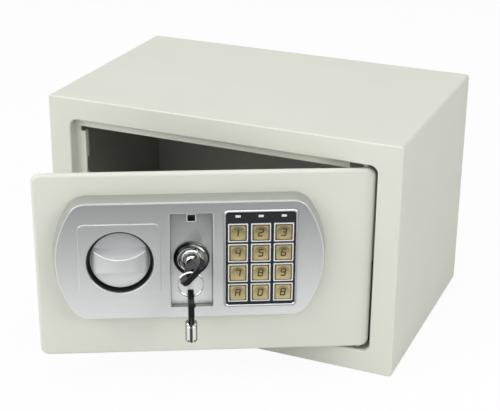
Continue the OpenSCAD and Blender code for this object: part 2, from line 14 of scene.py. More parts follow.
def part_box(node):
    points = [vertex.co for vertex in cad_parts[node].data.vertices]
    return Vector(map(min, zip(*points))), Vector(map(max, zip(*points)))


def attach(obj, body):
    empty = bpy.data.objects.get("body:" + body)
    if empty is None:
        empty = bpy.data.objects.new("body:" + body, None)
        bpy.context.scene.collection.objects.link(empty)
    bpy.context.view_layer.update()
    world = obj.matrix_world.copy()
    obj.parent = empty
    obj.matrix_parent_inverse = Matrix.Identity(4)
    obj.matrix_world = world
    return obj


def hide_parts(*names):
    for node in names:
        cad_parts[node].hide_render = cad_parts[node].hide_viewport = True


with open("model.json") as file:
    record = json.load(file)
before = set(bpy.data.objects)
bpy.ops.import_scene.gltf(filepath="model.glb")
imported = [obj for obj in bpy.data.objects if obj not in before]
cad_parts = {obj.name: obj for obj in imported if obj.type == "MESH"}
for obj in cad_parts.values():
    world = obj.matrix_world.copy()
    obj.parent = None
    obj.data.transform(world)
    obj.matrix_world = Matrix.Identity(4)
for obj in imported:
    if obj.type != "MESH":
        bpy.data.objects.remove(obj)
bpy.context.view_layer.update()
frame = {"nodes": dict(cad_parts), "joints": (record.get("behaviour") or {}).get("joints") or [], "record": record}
NODES = frame["nodes"]
JOINTS = {joint["name"]: joint for joint in frame["joints"]}
SLOTS = {part["node"]: part["material_slot"] for part in frame["record"]["subparts"]}
MM = 0.001

# ---- Places and sizes, in millimetres: s runs across the door, from its free edge ----

SHELL_LOW, SHELL_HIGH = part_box("outer_shell")
FRONT_Y = SHELL_LOW.y / MM
CAB_W = (SHELL_HIGH.x - SHELL_LOW.x) / MM
CAB_H = (SHELL_HIGH.z - SHELL_LOW.z) / MM
MID_Z = CAB_H / 2
SHEET = 2.0
MOUTH = (270.0, 162.0, 6.5)  # width, height, corner radius
MOUTH_ROUND = 1.6
STOP_Y, LIP_Y, POCKET_Y = 8.8, 14.1, 20.0  # depths behind the front
STOP_X, STOP_END_X, STOP_Z, STOP_NOTCH = 125.6, 110.0, 73.0, 4.4
BOLT_GAPS = ((55.0, 69.0), (131.0, 145.0))
ANCHOR_X, ANCHOR_R = (-60.0, 60.0), 5.0

PIVOT_S, PIVOT_Y = 257.3, 7.0
DOOR_W, DOOR_H, DOOR_T, DOOR_R, DOOR_Z = 264.6, 155.5, 4.0, 7.0, 99.75

PANEL_S, PANEL_Z, PANEL_T = 120.3, 108.9, 12.0
PANEL_HALF_W, PANEL_HALF_H, PANEL_END_R, PANEL_CORNER = 104.3, 49.1, 77.7, 14.0
PANEL_DRAFT, PANEL_WALL = 2.3, 2.0
PAD_S, PAD_Z, PAD_RISE = (34.3, 97.2), (79.6, 140.7), 1.1
KNOB_S, KNOB_Z, KNOB_R, KNOB_FACE = 66.0, 108.5, 23.4, 7.5
WELL_R, WELL_ROUND, WELL_FLOOR = 25.7, 1.7, 3.2
LOCK_S, LOCK_Z, LOCK_HOLE_R = 121.3, 108.5, 9.4
RECESS_Z, RECESS_W, RECESS_H = 108.5, 33.0, 80.0
RECESS_FLOOR, RECESS_T = 6.0, 1.5
CATCH_S, CATCH_Z = 121.5, 142.6

KEYPAD_S, KEYPAD_Z, KEYPAD_W, KEYPAD_H = 174.8, 109.4, 53.0, 78.0
FILM_TOP = PANEL_T + 0.8
KEY_S, KEY_Z, KEY_DX, KEY_DZ = 174.8, 106.5, 17.7, 17.1
KEY_W, KEY_TOP = 11.7, 14.2
KEY_NAMES = ("1", "2", "3", "4", "5", "6", "7", "8", "9", "a", "0", "b")
LAMPS = [(KEY_S + column * KEY_DX, 145.8) for column in (-1, 0, 1)]

RING_AT, RING_R, WIRE_R = (119.9, -35.5, 100.3), 9.9, 0.6
SPARE_Z = 68.2
BOW_L, BOW_T, EYE_B, EYE_R = 24.5, 4.6, 19.6, 3.9
TUBE_L, TUBE_R = 15.9, 4.6

# ---- Stage: floor width in millimetres, soft boxes and camera in metres ----

FLOOR_W, FLOOR_GLOW, WORLD_LIGHT = 12000.0, 0.93, 0.36
LIGHTS = (("key", (-1.5, -1.5, 1.3), (1.4, 1.4), 24), ("front", (-0.3, -2.2, 1.0), (1.2, 1.0), 8),
          ("fill", (1.7, -0.5, 0.9), (1.0, 1.0), 11), ("top", (0.0, 0.1, 2.0), (1.4, 1.4), 12.5))
LIT_SPOT = Vector((0, 0, 0.1))
CAMERA_AT, CAMERA_LENS = (0.3985, -0.9831, 0.5408), 92.71

# ---- Frames ----

hinge = JOINTS["door_hinge"]
DOOR_OPEN = math.radians(-hinge["range_deg"][0])
PIVOT = Vector((hinge["pos_m"][0], hinge["pos_m"][1], 0))
CABINET = Matrix.Scale(MM, 4)
DOOR = (Matrix.Translation(PIVOT) @ Matrix.Rotation(DOOR_OPEN, 4, "Z") @ Matrix.Scale(MM, 4)
        @ Matrix.Translation((-PIVOT_S, -PIVOT_Y, 0)))


# ---- Outlines: lists of (x, z) points, counter-clockwise ----

def arc(cx, cz, r, start, end, steps):
    """Points on an arc, angles in degrees, both ends included."""
    turn = [math.radians(start + (end - start) * k / steps) for k in range(steps + 1)]
    return [(cx + r * math.cos(a), cz + r * math.sin(a)) for a in turn]


def rounded_rect(w, h, r, centre=(0.0, 0.0), steps=8, along=0):
    """Rectangle with round corners, and a number of extra points along every side."""
    r = max(r, 0.01)
    points = []
    for quarter, (sx, sz) in enumerate(((1, 1), (-1, 1), (-1, -1), (1, -1))):
        cx, cz = centre[0] + sx * (w / 2 - r), centre[1] + sz * (h / 2 - r)
        points += arc(cx, cz, r, 90 * quarter, 90 * quarter + 90, steps)
    if not along:
        return points
    dense = []
    for k, (x, z) in enumerate(points):
        dense.append((x, z))
        if k % (steps + 1) == steps:
            nx, nz = points[(k + 1) % len(points)]
            dense += [(x + (nx - x) * j / (along + 1), z + (nz - z) * j / (along + 1))
                      for j in range(1, along + 1)]
    return dense


def quarter(steps):
    """Angles of a quarter turn, both ends included."""
    return [math.pi / 2 * k / steps for k in range(steps + 1)]


def circle(r, centre=(0.0, 0.0), steps=96):
    return arc(centre[0], centre[1], r, 0, 360 - 360 / steps, steps - 1)


def panel_outline(grow):
    """The control panel: bowed ends, straight top and bottom, small blends between them."""
    inset = PANEL_HALF_W - PANEL_END_R
    rise = PANEL_HALF_H - PANEL_CORNER
    blend_x = inset + math.sqrt((PANEL_END_R - PANEL_CORNER) ** 2 - rise ** 2)
    bow = math.degrees(math.atan2(rise, blend_x - inset))
    right = arc(blend_x, -rise, PANEL_CORNER + grow, -90, -bow, 8)
    right += arc(inset, 0, PANEL_END_R + grow, -bow, bow, 40)[1:-1]
    right += arc(blend_x, rise, PANEL_CORNER + grow, bow, 90, 8)
    left = [(-x, -z) for x, z in right]
    return [(PANEL_S + x, PANEL_Z + z) for x, z in right + left]


# ---- Mesh helpers ----

class Solid:
    """A mesh under construction, in millimetres."""

    def __init__(self):
        self.bm = bmesh.new()

    def loop(self, outline, y):
        """One ring of vertices; y is a depth, or a function of (x, z)."""
        depth = y if callable(y) else lambda x, z: y
        return [self.bm.verts.new((x, depth(x, z), z)) for x, z in outline]

    def ring(self, points):
        return [self.bm.verts.new(p) for p in points]

    def band(self, first, second, tint=0):
        """Faces between two loops; tint is the index of their finish."""
        for k in range(len(first)):
            after = (k + 1) % len(first)
            face = self.bm.faces.new((first[k], first[after], second[after], second[k]))
            face.material_index = tint

    def bands(self, loops, closed=False, tints=()):
        """Faces between all neighbouring loops, in the finishes of tints, then in the first."""
        for k, (first, second) in enumerate(zip(loops, loops[1:])):
            self.band(first, second, tints[k] if k < len(tints) else 0)
        if closed:
            self.band(loops[-1], loops[0])

    def cap(self, *loops):
        for loop in loops:
            self.bm.faces.new(loop)

    def skin(self, loops):
        """A closed skin over the loops, with both ends capped."""
        self.bands(loops)
        self.cap(loops[0], loops[-1])

    def fill(self, *loops, tint=0):
        """A flat face bounded by the first loop, with the other loops as holes."""
        edges = []
        for loop in loops:
            for k, vert in enumerate(loop):
                after = loop[(k + 1) % len(loop)]
                edge = self.bm.edges.get((vert, after)) or self.bm.edges.new((vert, after))
                edges.append(edge)
        made = bmesh.ops.triangle_fill(self.bm, use_beauty=True, use_dissolve=False, edges=edges)
        for face in made["geom"]:
            if isinstance(face, bmesh.types.BMFace):
                face.material_index = tint

    def box(self, xs, ys, zs):
        corners = self.ring([(x, y, z) for x in xs for y in ys for z in zs])
        for face in ((0, 1, 3, 2), (4, 6, 7, 5), (0, 4, 5, 1), (2, 3, 7, 6), (0, 2, 6, 4), (1, 5, 7, 3)):
            self.cap([corners[i] for i in face])

    def lathe(self, profile, centre, steps=96):
        """Turns (radius, y) points about the Y axis through centre; a closed profile."""
        self.bands([self.loop(circle(r, centre, steps), y) for r, y in profile], closed=True)

    def piece(self, name, body, finishes, node, slot, place=None, sharp=38.0, bevel=0.0):
        """Makes the object in its finishes and hangs it on its CAD body, instead of a CAD node."""
        made = self.mesh_object(name, place or (CABINET if body == "cabinet" else DOOR))
        mesh = made.data
        for finish in finishes.split():
            mesh.materials.append(FINISH[finish])
        mesh.shade_smooth()
        mesh.set_sharp_from_angle(angle=math.radians(sharp))
        if bevel:
            add_bevel(made, bevel)
        even_normals(made)
        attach(made, body)
        if node:
            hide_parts(node)
        return made

    def mesh_object(self, name, place):
        """Moves the mesh to its place and links it as a new object."""
        self.bm.transform(place)
        bmesh.ops.recalc_face_normals(self.bm, faces=self.bm.faces)
        mesh = bpy.data.meshes.new(name)
        self.bm.to_mesh(mesh)
        self.bm.free()
        return link(name, mesh)


def link(name, data):
    """A new object in the scene."""
    made = bpy.data.objects.new(name, data)
    bpy.context.scene.collection.objects.link(made)
    return made


def fillet(y_side, y_face, grow_side, radius, steps=5):
    """Layers (y, grow) that round an edge from a side wall to a face."""
    toward = 1 if y_face > y_side else -1
    return [(y_face - toward * radius * (1 - math.sin(a)), grow_side - radius * (1 - math.cos(a)))
            for a in quarter(steps)]


def add_bevel(piece, width):
    bevel = piece.modifiers.new("soft_edges", "BEVEL")
    bevel.width = width * MM
    bevel.segments = 3
    bevel.limit_method = "ANGLE"
    bevel.angle_limit = math.radians(40)
    bevel.harden_normals = False


def even_normals(piece):
    normals = piece.modifiers.new("even_normals", "WEIGHTED_NORMAL")
    normals.keep_sharp = True


def cut_out(piece, cutter, place):
    """Cuts a drawn solid out of a finished piece, and keeps what its modifiers make of it."""
    tool = cutter.mesh_object("cutter", place)
    cut = piece.modifiers.new("cut", "BOOLEAN")
    cut.operation = "DIFFERENCE"
    cut.object = tool
    cut.solver = "EXACT"
    piece.modifiers.move(len(piece.modifiers) - 1, 0)
    depsgraph = bpy.context.evaluated_depsgraph_get()
    mesh = bpy.data.meshes.new_from_object(piece.evaluated_get(depsgraph), depsgraph=depsgraph)
    piece.modifiers.clear()
    old = piece.data
    piece.data = mesh
    bpy.data.meshes.remove(old)
    bpy.data.objects.remove(tool)


# ---- Materials: each function adds one to FINISH ----

FINISH = {}


def grey(v):
    return (v, v, v)


class Graph:
    """A node tree being filled in. Values are sockets, numbers, vectors or colours."""

    def __init__(self, owner):
        owner.use_nodes = True
        self.nodes, self.links = owner.node_tree.nodes, owner.node_tree.links

    def put(self, value, socket):
        """Links a socket to another, or gives it a plain value."""
        if isinstance(value, bpy.types.NodeSocket):
            self.links.new(value, socket)
        else:
            socket.default_value = value

    def node(self, kind, inputs=(), **settings):
        """Adds a node; inputs maps the names or numbers of its sockets to values."""
        node = self.nodes.new("ShaderNode" + kind)
        for key, value in settings.items():
            setattr(node, key, value)
        for key, value in dict(inputs).items():
            self.put(value, node.inputs[key])
        return node

    def math(self, operation, *values):
        return self.node("Math", enumerate(values), operation=operation).outputs["Value"]

    def vector(self, operation, *values):
        node = self.node("VectorMath", enumerate(values), operation=operation)
        return node.outputs["Value" if operation in ("DOT_PRODUCT", "LENGTH") else "Vector"]

    def axis(self, vector, name):
        """One component of a vector."""
        return self.node("SeparateXYZ", {"Vector": vector}).outputs[name]

    def span(self, value, low_mm, high_mm):
        """The value's place between two lengths, from 0 to 1."""
        inputs = {"Value": value, "From Min": low_mm * MM, "From Max": high_mm * MM}
        return self.node("MapRange", inputs).outputs["Result"]

    def mix(self, factor, first, second, blend="MIX"):
        inputs = {"Factor": factor}
        for key, value in (("A", first), ("B", second)):
            inputs[key] = (*value, 1.0) if isinstance(value, tuple) else value
        return self.node("Mix", inputs, data_type="RGBA", blend_type=blend).outputs["Result"]

    def ramp(self, value, *stops):
        """Colour ramp through (position, colour) stops."""
        node = self.node("ValToRGB", {"Fac": value})
        elements = node.color_ramp.elements
        while len(elements) < len(stops):
            elements.new(0.5)
        for element, (position, colour) in zip(elements, stops):
            element.position = position
            element.color = (*colour, 1.0)
        return node.outputs["Color"]


class Look(Graph):
    """A material under construction: its shader, object coordinates and usual textures."""

    def __init__(self, name):
        FINISH[name] = bpy.data.materials.new(name)
        super().__init__(FINISH[name])
        self.shader = self.nodes["Principled BSDF"]
        self.coords = self.node("TexCoord").outputs["Object"]

    def wear(self, **inputs):
        """Sets shader inputs by name, with _ for each space."""
        for key, value in inputs.items():
            self.put(value, self.shader.inputs[key.replace("_", " ")])

    def noise(self, size_mm, detail=3.0, rough=0.5, coords=None):
        """A noise texture whose features are about size_mm across."""
        inputs = {"Vector": coords or self.coords, "Scale": 1.0 / (size_mm * MM), "Detail": detail,
                  "Roughness": rough}
        return self.node("TexNoise", inputs).outputs["Fac"]

    def rough(self, value, low, high, start=0.3):
        """Roughness that follows a texture from low to high."""
        self.wear(Roughness=self.ramp(value, (start, grey(low)), (0.7, grey(high))))

    def bump(self, height, depth_mm, strength):
        inputs = {"Height": height, "Distance": depth_mm * MM, "Strength": strength}
        self.wear(Normal=self.node("Bump", inputs).outputs["Normal"])

    def wiped(self, rough, scratch):
        """Polished metal: fine wiping marks in the roughness. Returns their texture."""
        marks = self.noise(1.6, 6, 0.7)
        self.rough(marks, rough, rough + scratch, 0.35)
        self.wear(Metallic=1.0)
        self.bump(marks, 0.004, 0.25)
        return marks


def shade(colour, share):
    return [c * share for c in colour]


def powder_coat(name, light, dark, inner=None):
    """Satin powder coat with fine orange peel; inner, if given, is painted shade on the faces turned forwards."""
    look = Look(name)
    colour = look.ramp(look.noise(60, 4), (0.3, dark), (0.7, light))
    if inner:
        # Painted shade: faces turned forwards take the darker inner colour, standing in for the shade inside the
        # safe.
        facing = look.axis(look.node("NewGeometry").outputs["Normal"], "Y")
        colour = look.mix(look.math("LESS_THAN", facing, -0.5), colour, inner)
    look.wear(Base_Color=colour)
    grain = look.noise(0.9, 5, 0.6)
    look.rough(grain, 0.40, 0.52)
    look.bump(grain, 0.05, 0.55)


def metallic_paint(name, top, bottom, z_low, z_high, metal=0.4, rough=0.34):
    """Silver paint on plastic: fine flake, and a painted reflection that darkens the tone towards the top and
    lightens it towards the foot.
    """
    look = Look(name)
    # Painted reflection: the colour runs from bottom at z_low to top at z_high, lighter near the foot.
    height = look.span(look.axis(look.coords, "Z"), z_low, z_high)
    tone = look.ramp(height, (0.0, bottom), (1.0, top))
    flake = look.noise(0.35, 2, 0.8)
    sparkle = look.ramp(flake, (0.35, grey(0.93)), (0.65, grey(1.06)))
    look.wear(Base_Color=look.mix(1.0, tone, sparkle, "MULTIPLY"), Metallic=metal,
              Coat_Weight=0.25, Coat_Roughness=0.12)
    look.rough(flake, rough - 0.03, rough + 0.05)
    look.bump(flake, 0.01, 0.3)


def polished_metal(name, colour, rough):
    """Chrome: bright, with fine wiping marks."""
    look = Look(name)
    marks = look.wiped(rough, 0.03)
    look.wear(Base_Color=look.ramp(marks, (0.3, shade(colour, 0.94)), (0.7, colour)))


def nickel_painted_reflection(name, colour, rough):
    """Nickel with painted reflections of two upright soft boxes: pale at both sides, dark between and behind, and
    a faint glow.
    """
    look = Look(name)
    look.wiped(rough, 0.03)
    mirrored = look.node("TexCoord").outputs["Reflection"]

    def towards(direction):
        return look.vector("DOT_PRODUCT", mirrored, direction)

    sides = look.math("ABSOLUTE", towards((0.921, 0.389, 0.0)))
    bright = look.math("MAXIMUM", sides, towards((0.0, 0.0, 1.1)))
    painted_stripes = look.ramp(bright, (0.0, grey(0.05)), (0.35, grey(0.09)), (0.47, colour), (1.0, colour))
    behind = look.ramp(towards((-0.389, 0.921, 0.0)), (0.0, grey(1.0)), (0.35, grey(0.22)))
    seen = look.mix(1.0, painted_stripes, behind, "MULTIPLY")
    # The painted reflection is also shown as a faint glow, though the nickel is no lamp.
    look.wear(Base_Color=seen, Emission_Color=seen, Emission_Strength=0.28)


def brushed_steel(name, colour):
    """Zinc-plated steel with a drawn grain."""
    look = Look(name)
    stretch = look.node("Mapping", {"Vector": look.coords, "Scale": (1.0, 1.0, 14.0)})
    grain = look.noise(2.5, 5, 0.65, stretch.outputs["Vector"])
    look.wear(Base_Color=look.ramp(grain, (0.3, shade(colour, 0.8)), (0.7, colour)), Metallic=0.95)
    look.rough(grain, 0.28, 0.42)
    look.bump(grain, 0.01, 0.35)


def moulded_plastic(name, colour, rough=0.38, texture_mm=0.5, depth_mm=0.02):
    """Injection-moulded plastic with a spark-eroded grain."""
    look = Look(name)
    look.wear(Base_Color=look.ramp(look.noise(9), (0.3, shade(colour, 0.88)), (0.7, colour)))
    grain = look.noise(texture_mm, 3, 0.6)
    look.rough(grain, rough - 0.05, rough + 0.08)
    look.bump(grain, depth_mm, 0.4)


def chrome_painted_reflection(name, centre, axis, shift, radius):
    """Chrome with a painted reflection: its outer bevel painted dark as if mirroring a dark room, clearing towards
    its upper right.
    """
    look = Look(name)
    offset = look.vector("SUBTRACT", look.coords, centre + shift)
    along = look.vector("DOT_PRODUCT", offset, axis)
    lift = look.node("CombineXYZ", {0: along, 1: along, 2: along}).outputs["Vector"]
    flat = look.vector("SUBTRACT", offset, look.vector("MULTIPLY", lift, axis))
    ring = look.span(look.vector("LENGTH", flat), radius - 0.2, radius + 0.2)
    upper = look.vector("DOT_PRODUCT", flat, Vector((0.75, 0.35, 0.55)).normalized())
    clearing = look.span(upper, 0.5 * radius, 1.2 * radius)
    # Painted reflection: the outer bevel nearly black, paler towards its upper right, the dish pale.
    dark = look.ramp(clearing, (0.0, (0.02, 0.022, 0.022)), (1.0, (0.30, 0.31, 0.28)))
    look.wear(Base_Color=look.mix(ring, (0.86, 0.87, 0.87), dark))
    look.wiped(0.07, 0.04)


def key_plastic(name, top, bottom):
    """Gold-tinted key plastic with painted shade, darker towards the upper edge of each key's hollow and on the
    upper rows.
    """
    look = Look(name)
    hollow = look.node("Attribute", attribute_name="hollow").outputs["Fac"]
    look.wear(Base_Color=look.ramp(hollow, (0.1, bottom), (0.9, top)))
    grain = look.noise(0.4, 3, 0.6)
    look.rough(grain, 0.30, 0.42)
    look.bump(grain, 0.01, 0.4)


def felt(name, colour):
    """Needle felt: tangled fibres, no shine."""
    look = Look(name)
    fibre = look.noise(0.8, 8, 0.75)
    look.wear(Base_Color=look.ramp(fibre, (0.3, shade(colour, 0.55)), (0.7, shade(colour, 1.3))),
              Roughness=0.95, Sheen_Weight=0.4)
    look.bump(fibre, 0.3, 0.8)


def circuit_board(name, colour):
    """Solder mask over a grid of tracks."""
    look = Look(name)
    inputs = {"Vector": look.coords, "Scale": 1.0 / (3.5 * MM)}
    tracks = look.node("TexVoronoi", inputs, distance="MANHATTAN").outputs["Distance"]
    look.wear(Base_Color=look.ramp(tracks, (0.42, colour), (0.5, shade(colour, 1.7))), Roughness=0.3)
    look.bump(tracks, 0.03, 0.4)


def wound_coil(name, colour):
    """Enamelled wire wound round an upright axis."""
    look = Look(name)
    inputs = {"Vector": look.coords, "Scale": 1.0 / (3.0 * MM)}
    wave = look.node("TexWave", inputs, bands_direction="Z").outputs["Fac"]
    look.wear(Base_Color=look.ramp(wave, (0.1, shade(colour, 0.4)), (0.6, colour)), Metallic=0.6,
              Roughness=0.35)
    look.bump(wave, 0.2, 0.7)


def unlit_window(name, colour):
    """Milky lens over an unlit lamp."""
    look = Look(name)
    look.wear(Base_Color=look.ramp(look.noise(1.2), (0.3, shade(colour, 0.93)), (0.7, colour)),
              Roughness=0.25, Subsurface_Weight=0.2, Subsurface_Radius=(MM, MM, MM))


def plain_floor(name, colour):
    """White studio floor, shown almost white with a faint contact shadow."""
    look = Look(name)
    path = look.node("LightPath").outputs
    tone = look.ramp(look.noise(400, 2), (0.3, shade(colour, 0.99)), (0.7, colour))
    look.wear(Base_Color=look.mix(path["Is Glossy Ray"], tone, grey(0.5)), Roughness=0.7)
    glow = look.node("Emission", {"Strength": 1.0}).outputs["Emission"]
    share = look.math("MULTIPLY", path["Is Camera Ray"], FLOOR_GLOW)
    shown = look.node("MixShader", {0: share, 1: look.shader.outputs["BSDF"], 2: glow})
    look.put(shown.outputs["Shader"], look.nodes["Material Output"].inputs["Surface"])


CREAM = ((0.70, 0.71, 0.63), (0.68, 0.69, 0.61))
LOCK_SPOT = DOOR @ Vector((LOCK_S, 0, LOCK_Z))
LOCK_AXIS = (DOOR.to_3x3() @ Vector((0, 1, 0))).normalized()

powder_coat("cream_paint", *CREAM)
# Painted shade: the back panel's inner face and the shell's inside walls take darker copies of the cream, for the
# shade inside the safe.
powder_coat("back_paint_shaded_inside", *CREAM, (0.47, 0.48, 0.43))
powder_coat("cream_inside", (0.45, 0.46, 0.41), (0.43, 0.44, 0.39))
# Painted light in all these silvers: each is darker at the top and lighter at the foot, and the panel, tray, key
# frame and knob finishes are lit and shaded copies of one silver.
metallic_paint("silver_plastic", (0.33, 0.345, 0.345), (0.84, 0.86, 0.85), 58, 160)
# Painted shade and reflection: the drafted sides as a duller, cream-tinted copy of the silver.
metallic_paint("panel_side", (0.36, 0.375, 0.34), (0.50, 0.52, 0.48), 58, 160, 0.2, 0.3)
# Painted highlight: a bright copy of the silver for the rounded edges and rims.
metallic_paint("panel_edge", (0.72, 0.73, 0.73), (0.85, 0.86, 0.86), 58, 160, 0.3, 0.25)
# Painted shade: a dark copy of the silver for the recess walls and the inner slopes of the key frames.
metallic_paint("panel_shade", (0.16, 0.17, 0.17), (0.26, 0.27, 0.27), 66, 150, 0.4, 0.3)
# Painted shade on the recess tray: dark at the top, clearing to almost white at the foot.
metallic_paint("recess_floor", (0.26, 0.27, 0.27), (0.98, 1.0, 0.99), 72, 150, 0.5, 0.2)
metallic_paint("key_surround", (0.82, 0.85, 0.86), (0.86, 0.88, 0.89), 58, 160, 0.2, 0.25)
# Painted light on the knob: its face darker at the top, and its grip's flanks a lighter copy of the silver.
metallic_paint("silver_knob", (0.46, 0.48, 0.48), (0.84, 0.86, 0.85), 92, 128)
metallic_paint("knob_flank", (0.66, 0.69, 0.69), (0.84, 0.86, 0.85), 100, 122)
polished_metal("bezel_silver", (0.66, 0.67, 0.67), 0.27)
polished_metal("chrome", (0.80, 0.81, 0.83), 0.07)
# Painted reflection on the lock head.
chrome_painted_reflection("lock_chrome", LOCK_SPOT, LOCK_AXIS, Vector((-0.0008, 0, 0.0010)), 10.1)
# Painted reflections and glow on the key tubes and the ring.
nickel_painted_reflection("nickel", (0.86, 0.85, 0.80), 0.14)
brushed_steel("bare_steel", (0.60, 0.61, 0.62))
moulded_plastic("black_plastic", (0.018, 0.019, 0.022), 0.32)
# Painted light on the key bows: broad faces a lighter black, edges a darker black with little shine.
moulded_plastic("key_black", (0.038, 0.038, 0.041), 0.34, 0.3, 0.008)
moulded_plastic("key_edge", (0.006, 0.006, 0.008), 0.42, 0.3, 0.008)
moulded_plastic("navy_panel", (0.006, 0.011, 0.014), 0.42, 0.25, 0.01)
moulded_plastic("rubber_mat", (0.07, 0.07, 0.075), 0.6, 0.7, 0.03)
moulded_plastic("cell_wrap", (0.03, 0.16, 0.08), 0.3, 2.0, 0.01)
moulded_plastic("red_plastic", (0.5, 0.02, 0.015), 0.3)
moulded_plastic("white_plastic", (0.7, 0.7, 0.66), 0.4)
moulded_plastic("red_wire", (0.45, 0.02, 0.015), 0.4, 0.6, 0.01)
moulded_plastic("brown_ink", (0.045, 0.03, 0.012), 0.5, 0.3, 0.005)
# Painted shade on the keys: dark at the upper edge of each hollow, light at its lower edge.
key_plastic("gold_key", (0.17, 0.135, 0.058), (0.50, 0.41, 0.19))
unlit_window("lamp_window", (0.75, 0.77, 0.78))
felt("felt", (0.06, 0.06, 0.065))
circuit_board("board", (0.02, 0.12, 0.05))
wound_coil("coil", (0.42, 0.16, 0.05))
# Weaker reflections on the edges with painted shade.
EDGE_SHADER = FINISH["key_edge"].node_tree.nodes["Principled BSDF"]
EDGE_SHADER.inputs["Specular IOR Level"].default_value = 0.25


# ---- Cabinet ----

def outer_shell():
    """Folded sheet body: one closed skin round the outside, the mouth and the inside."""
    solid = Solid()
    centre = (0.0, MID_Z)
    back = -FRONT_Y
    edge = 1.3
    w, h, r = MOUTH

    def outside(grow):
        return rounded_rect(CAB_W + 2 * grow, CAB_H + 2 * grow, 2.5 + grow, centre)

    def inside(grow):
        return rounded_rect(CAB_W - 2 * SHEET + 2 * grow, CAB_H - 2 * SHEET + 2 * grow, 1.0, centre)

    def mouth(grow):
        return rounded_rect(w + 2 * grow, h + 2 * grow, r + grow, centre)

    loops = [solid.loop(outside(0), back)]
    loops += [solid.loop(outside(g), y) for y, g in fillet(back, FRONT_Y, 0, edge)]
    rim = [(FRONT_Y + MOUTH_ROUND * (1 - math.sin(a)), MOUTH_ROUND * (1 - math.cos(a)))
           for a in quarter(6)]
    loops += [solid.loop(mouth(g), y) for y, g in reversed(rim)]
    loops += [solid.loop(mouth(SHEET), FRONT_Y + MOUTH_ROUND),
              solid.loop(mouth(MOUTH_ROUND + 1), FRONT_Y + SHEET)]
    loops += [solid.loop(inside(0), FRONT_Y + SHEET), solid.loop(inside(0), back)]
    # Painted shade: the inner return and the inside walls take the darkened cream, finish 1.
    solid.bands(loops, closed=True, tints=[0] * (len(loops) - 3) + [1, 1])
    shell = solid.piece("cabinet_shell", "cabinet", "cream_paint cream_inside", "outer_shell",
                        "cream_paint")
    drills = Solid()
    for x in ANCHOR_X:
        bmesh.ops.create_cone(drills.bm, cap_ends=True, segments=48, radius1=ANCHOR_R, radius2=ANCHOR_R,
                              depth=12.0, matrix=Matrix.Translation((x, 0.0, SHEET / 2)))
    cut_out(shell, drills, CABINET)


def front_frame():
    """Rebate walls, stop flange and return lip behind the mouth."""
    solid = Solid()
    centre = (0.0, MID_Z)
    w, h, r = MOUTH
    start, stop = FRONT_Y + MOUTH_ROUND + 0.02, FRONT_Y + STOP_Y

    def wall(grow):
        return rounded_rect(w + 2 * grow, h + 2 * grow, r + grow, centre)

    loops = [solid.loop(wall(g), y)
             for y, g in ((start, 0), (stop + SHEET, 0), (stop + SHEET, SHEET), (start, SHEET))]
    solid.bands(loops, closed=True)
    pocket(solid, stop, FRONT_Y + POCKET_Y)
    stop_flange(solid, stop)
    solid.piece("mouth_frame", "cabinet", "cream_paint", "front_frame", "cream_paint", bevel=0.35)


def pocket(solid, stop, back):
    """Deeper rebate wall at the hinge side, drawn as one bent strip."""
    w, h, r = MOUTH
    right = w / 2
    start = stop + SHEET - 0.05

    def strip(grow):
        upper = arc(right - r, MID_Z + h / 2 - r, r + grow, 0, 90, 8)
        lower = [(x, 2 * MID_Z - z) for x, z in reversed(upper)]
        return [(STOP_END_X, MID_Z - h / 2 - grow)] + lower + upper + [(STOP_END_X, MID_Z + h / 2 + grow)]

    rows = [solid.ring([(x, y, z) for x, z in strip(g)])
            for y, g in ((start, 0), (back, 0), (back, SHEET), (start, SHEET))]
    for first, second in zip(rows, rows[1:] + rows[:1]):
        for k in range(len(first) - 1):
            solid.cap((first[k], first[k + 1], second[k + 1], second[k]))
    solid.cap(*[[row[end] for row in rows] for end in (0, -1)])


def stop_flange(solid, stop):
    """Flange and return lip on the free side, top and bottom, with reliefs at the free corners."""
    w, h, r = MOUTH
    lip = FRONT_Y + LIP_Y
    back = stop + SHEET
    left, right = -w / 2 - 0.5, STOP_END_X
    low, high = MID_Z - STOP_Z, MID_Z + STOP_Z
    floor, roof = MID_Z - h / 2 - 0.5, MID_Z + h / 2 + 0.5
    edge, relief = -STOP_X, -STOP_X - STOP_NOTCH
    above, below = low + STOP_NOTCH, high - STOP_NOTCH
    rim = [(left, floor), (right, floor), (right, low), (edge, low), (relief, low), (relief, above),
           (edge, above), (edge, below), (relief, below), (relief, high), (edge, high), (right, high),
           (right, roof), (left, roof)]
    solid.skin([solid.loop(rim, y) for y in (stop, back)])
    for z in ((low - SHEET, low), (high, high + SHEET)):
        solid.box((edge, right), (back - 0.02, lip), z)
    (gap_0, gap_1), (gap_2, gap_3) = BOLT_GAPS
    for z in ((above, gap_0), (gap_1, gap_2), (gap_3, below)):
        solid.box((edge - SHEET, edge), (back - 0.02, lip), z)


def floor_mat():
    """Cut felt with a slightly uneven nap, over the fixing holes."""
    solid = Solid()
    low, high = [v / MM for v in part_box("floor_mat")]
    centre = ((low.x + high.x) / 2, (low.y + high.y) / 2)
    w, d = high.x - low.x, high.y - low.y
    rows = []
    for z, grow in ((low.z, 0), (high.z - 0.5, 0), (high.z, -0.5)):
        outlines = [rounded_rect(w + 2 * grow, d + 2 * grow, 4, centre)]
        outlines += [circle(8 - grow, (x, 0), 48) for x in ANCHOR_X]
        rows.append([solid.ring([(x, y, z) for x, y in outline]) for outline in outlines])
    for first, second in zip(rows, rows[1:]):
        for a, b in zip(first, second):
            solid.band(a, b)
    solid.fill(*rows[0])
    solid.fill(*rows[-1])
    solid.piece("felt_mat", "cabinet", "felt", "floor_mat", "felt")


# ---- Door ----

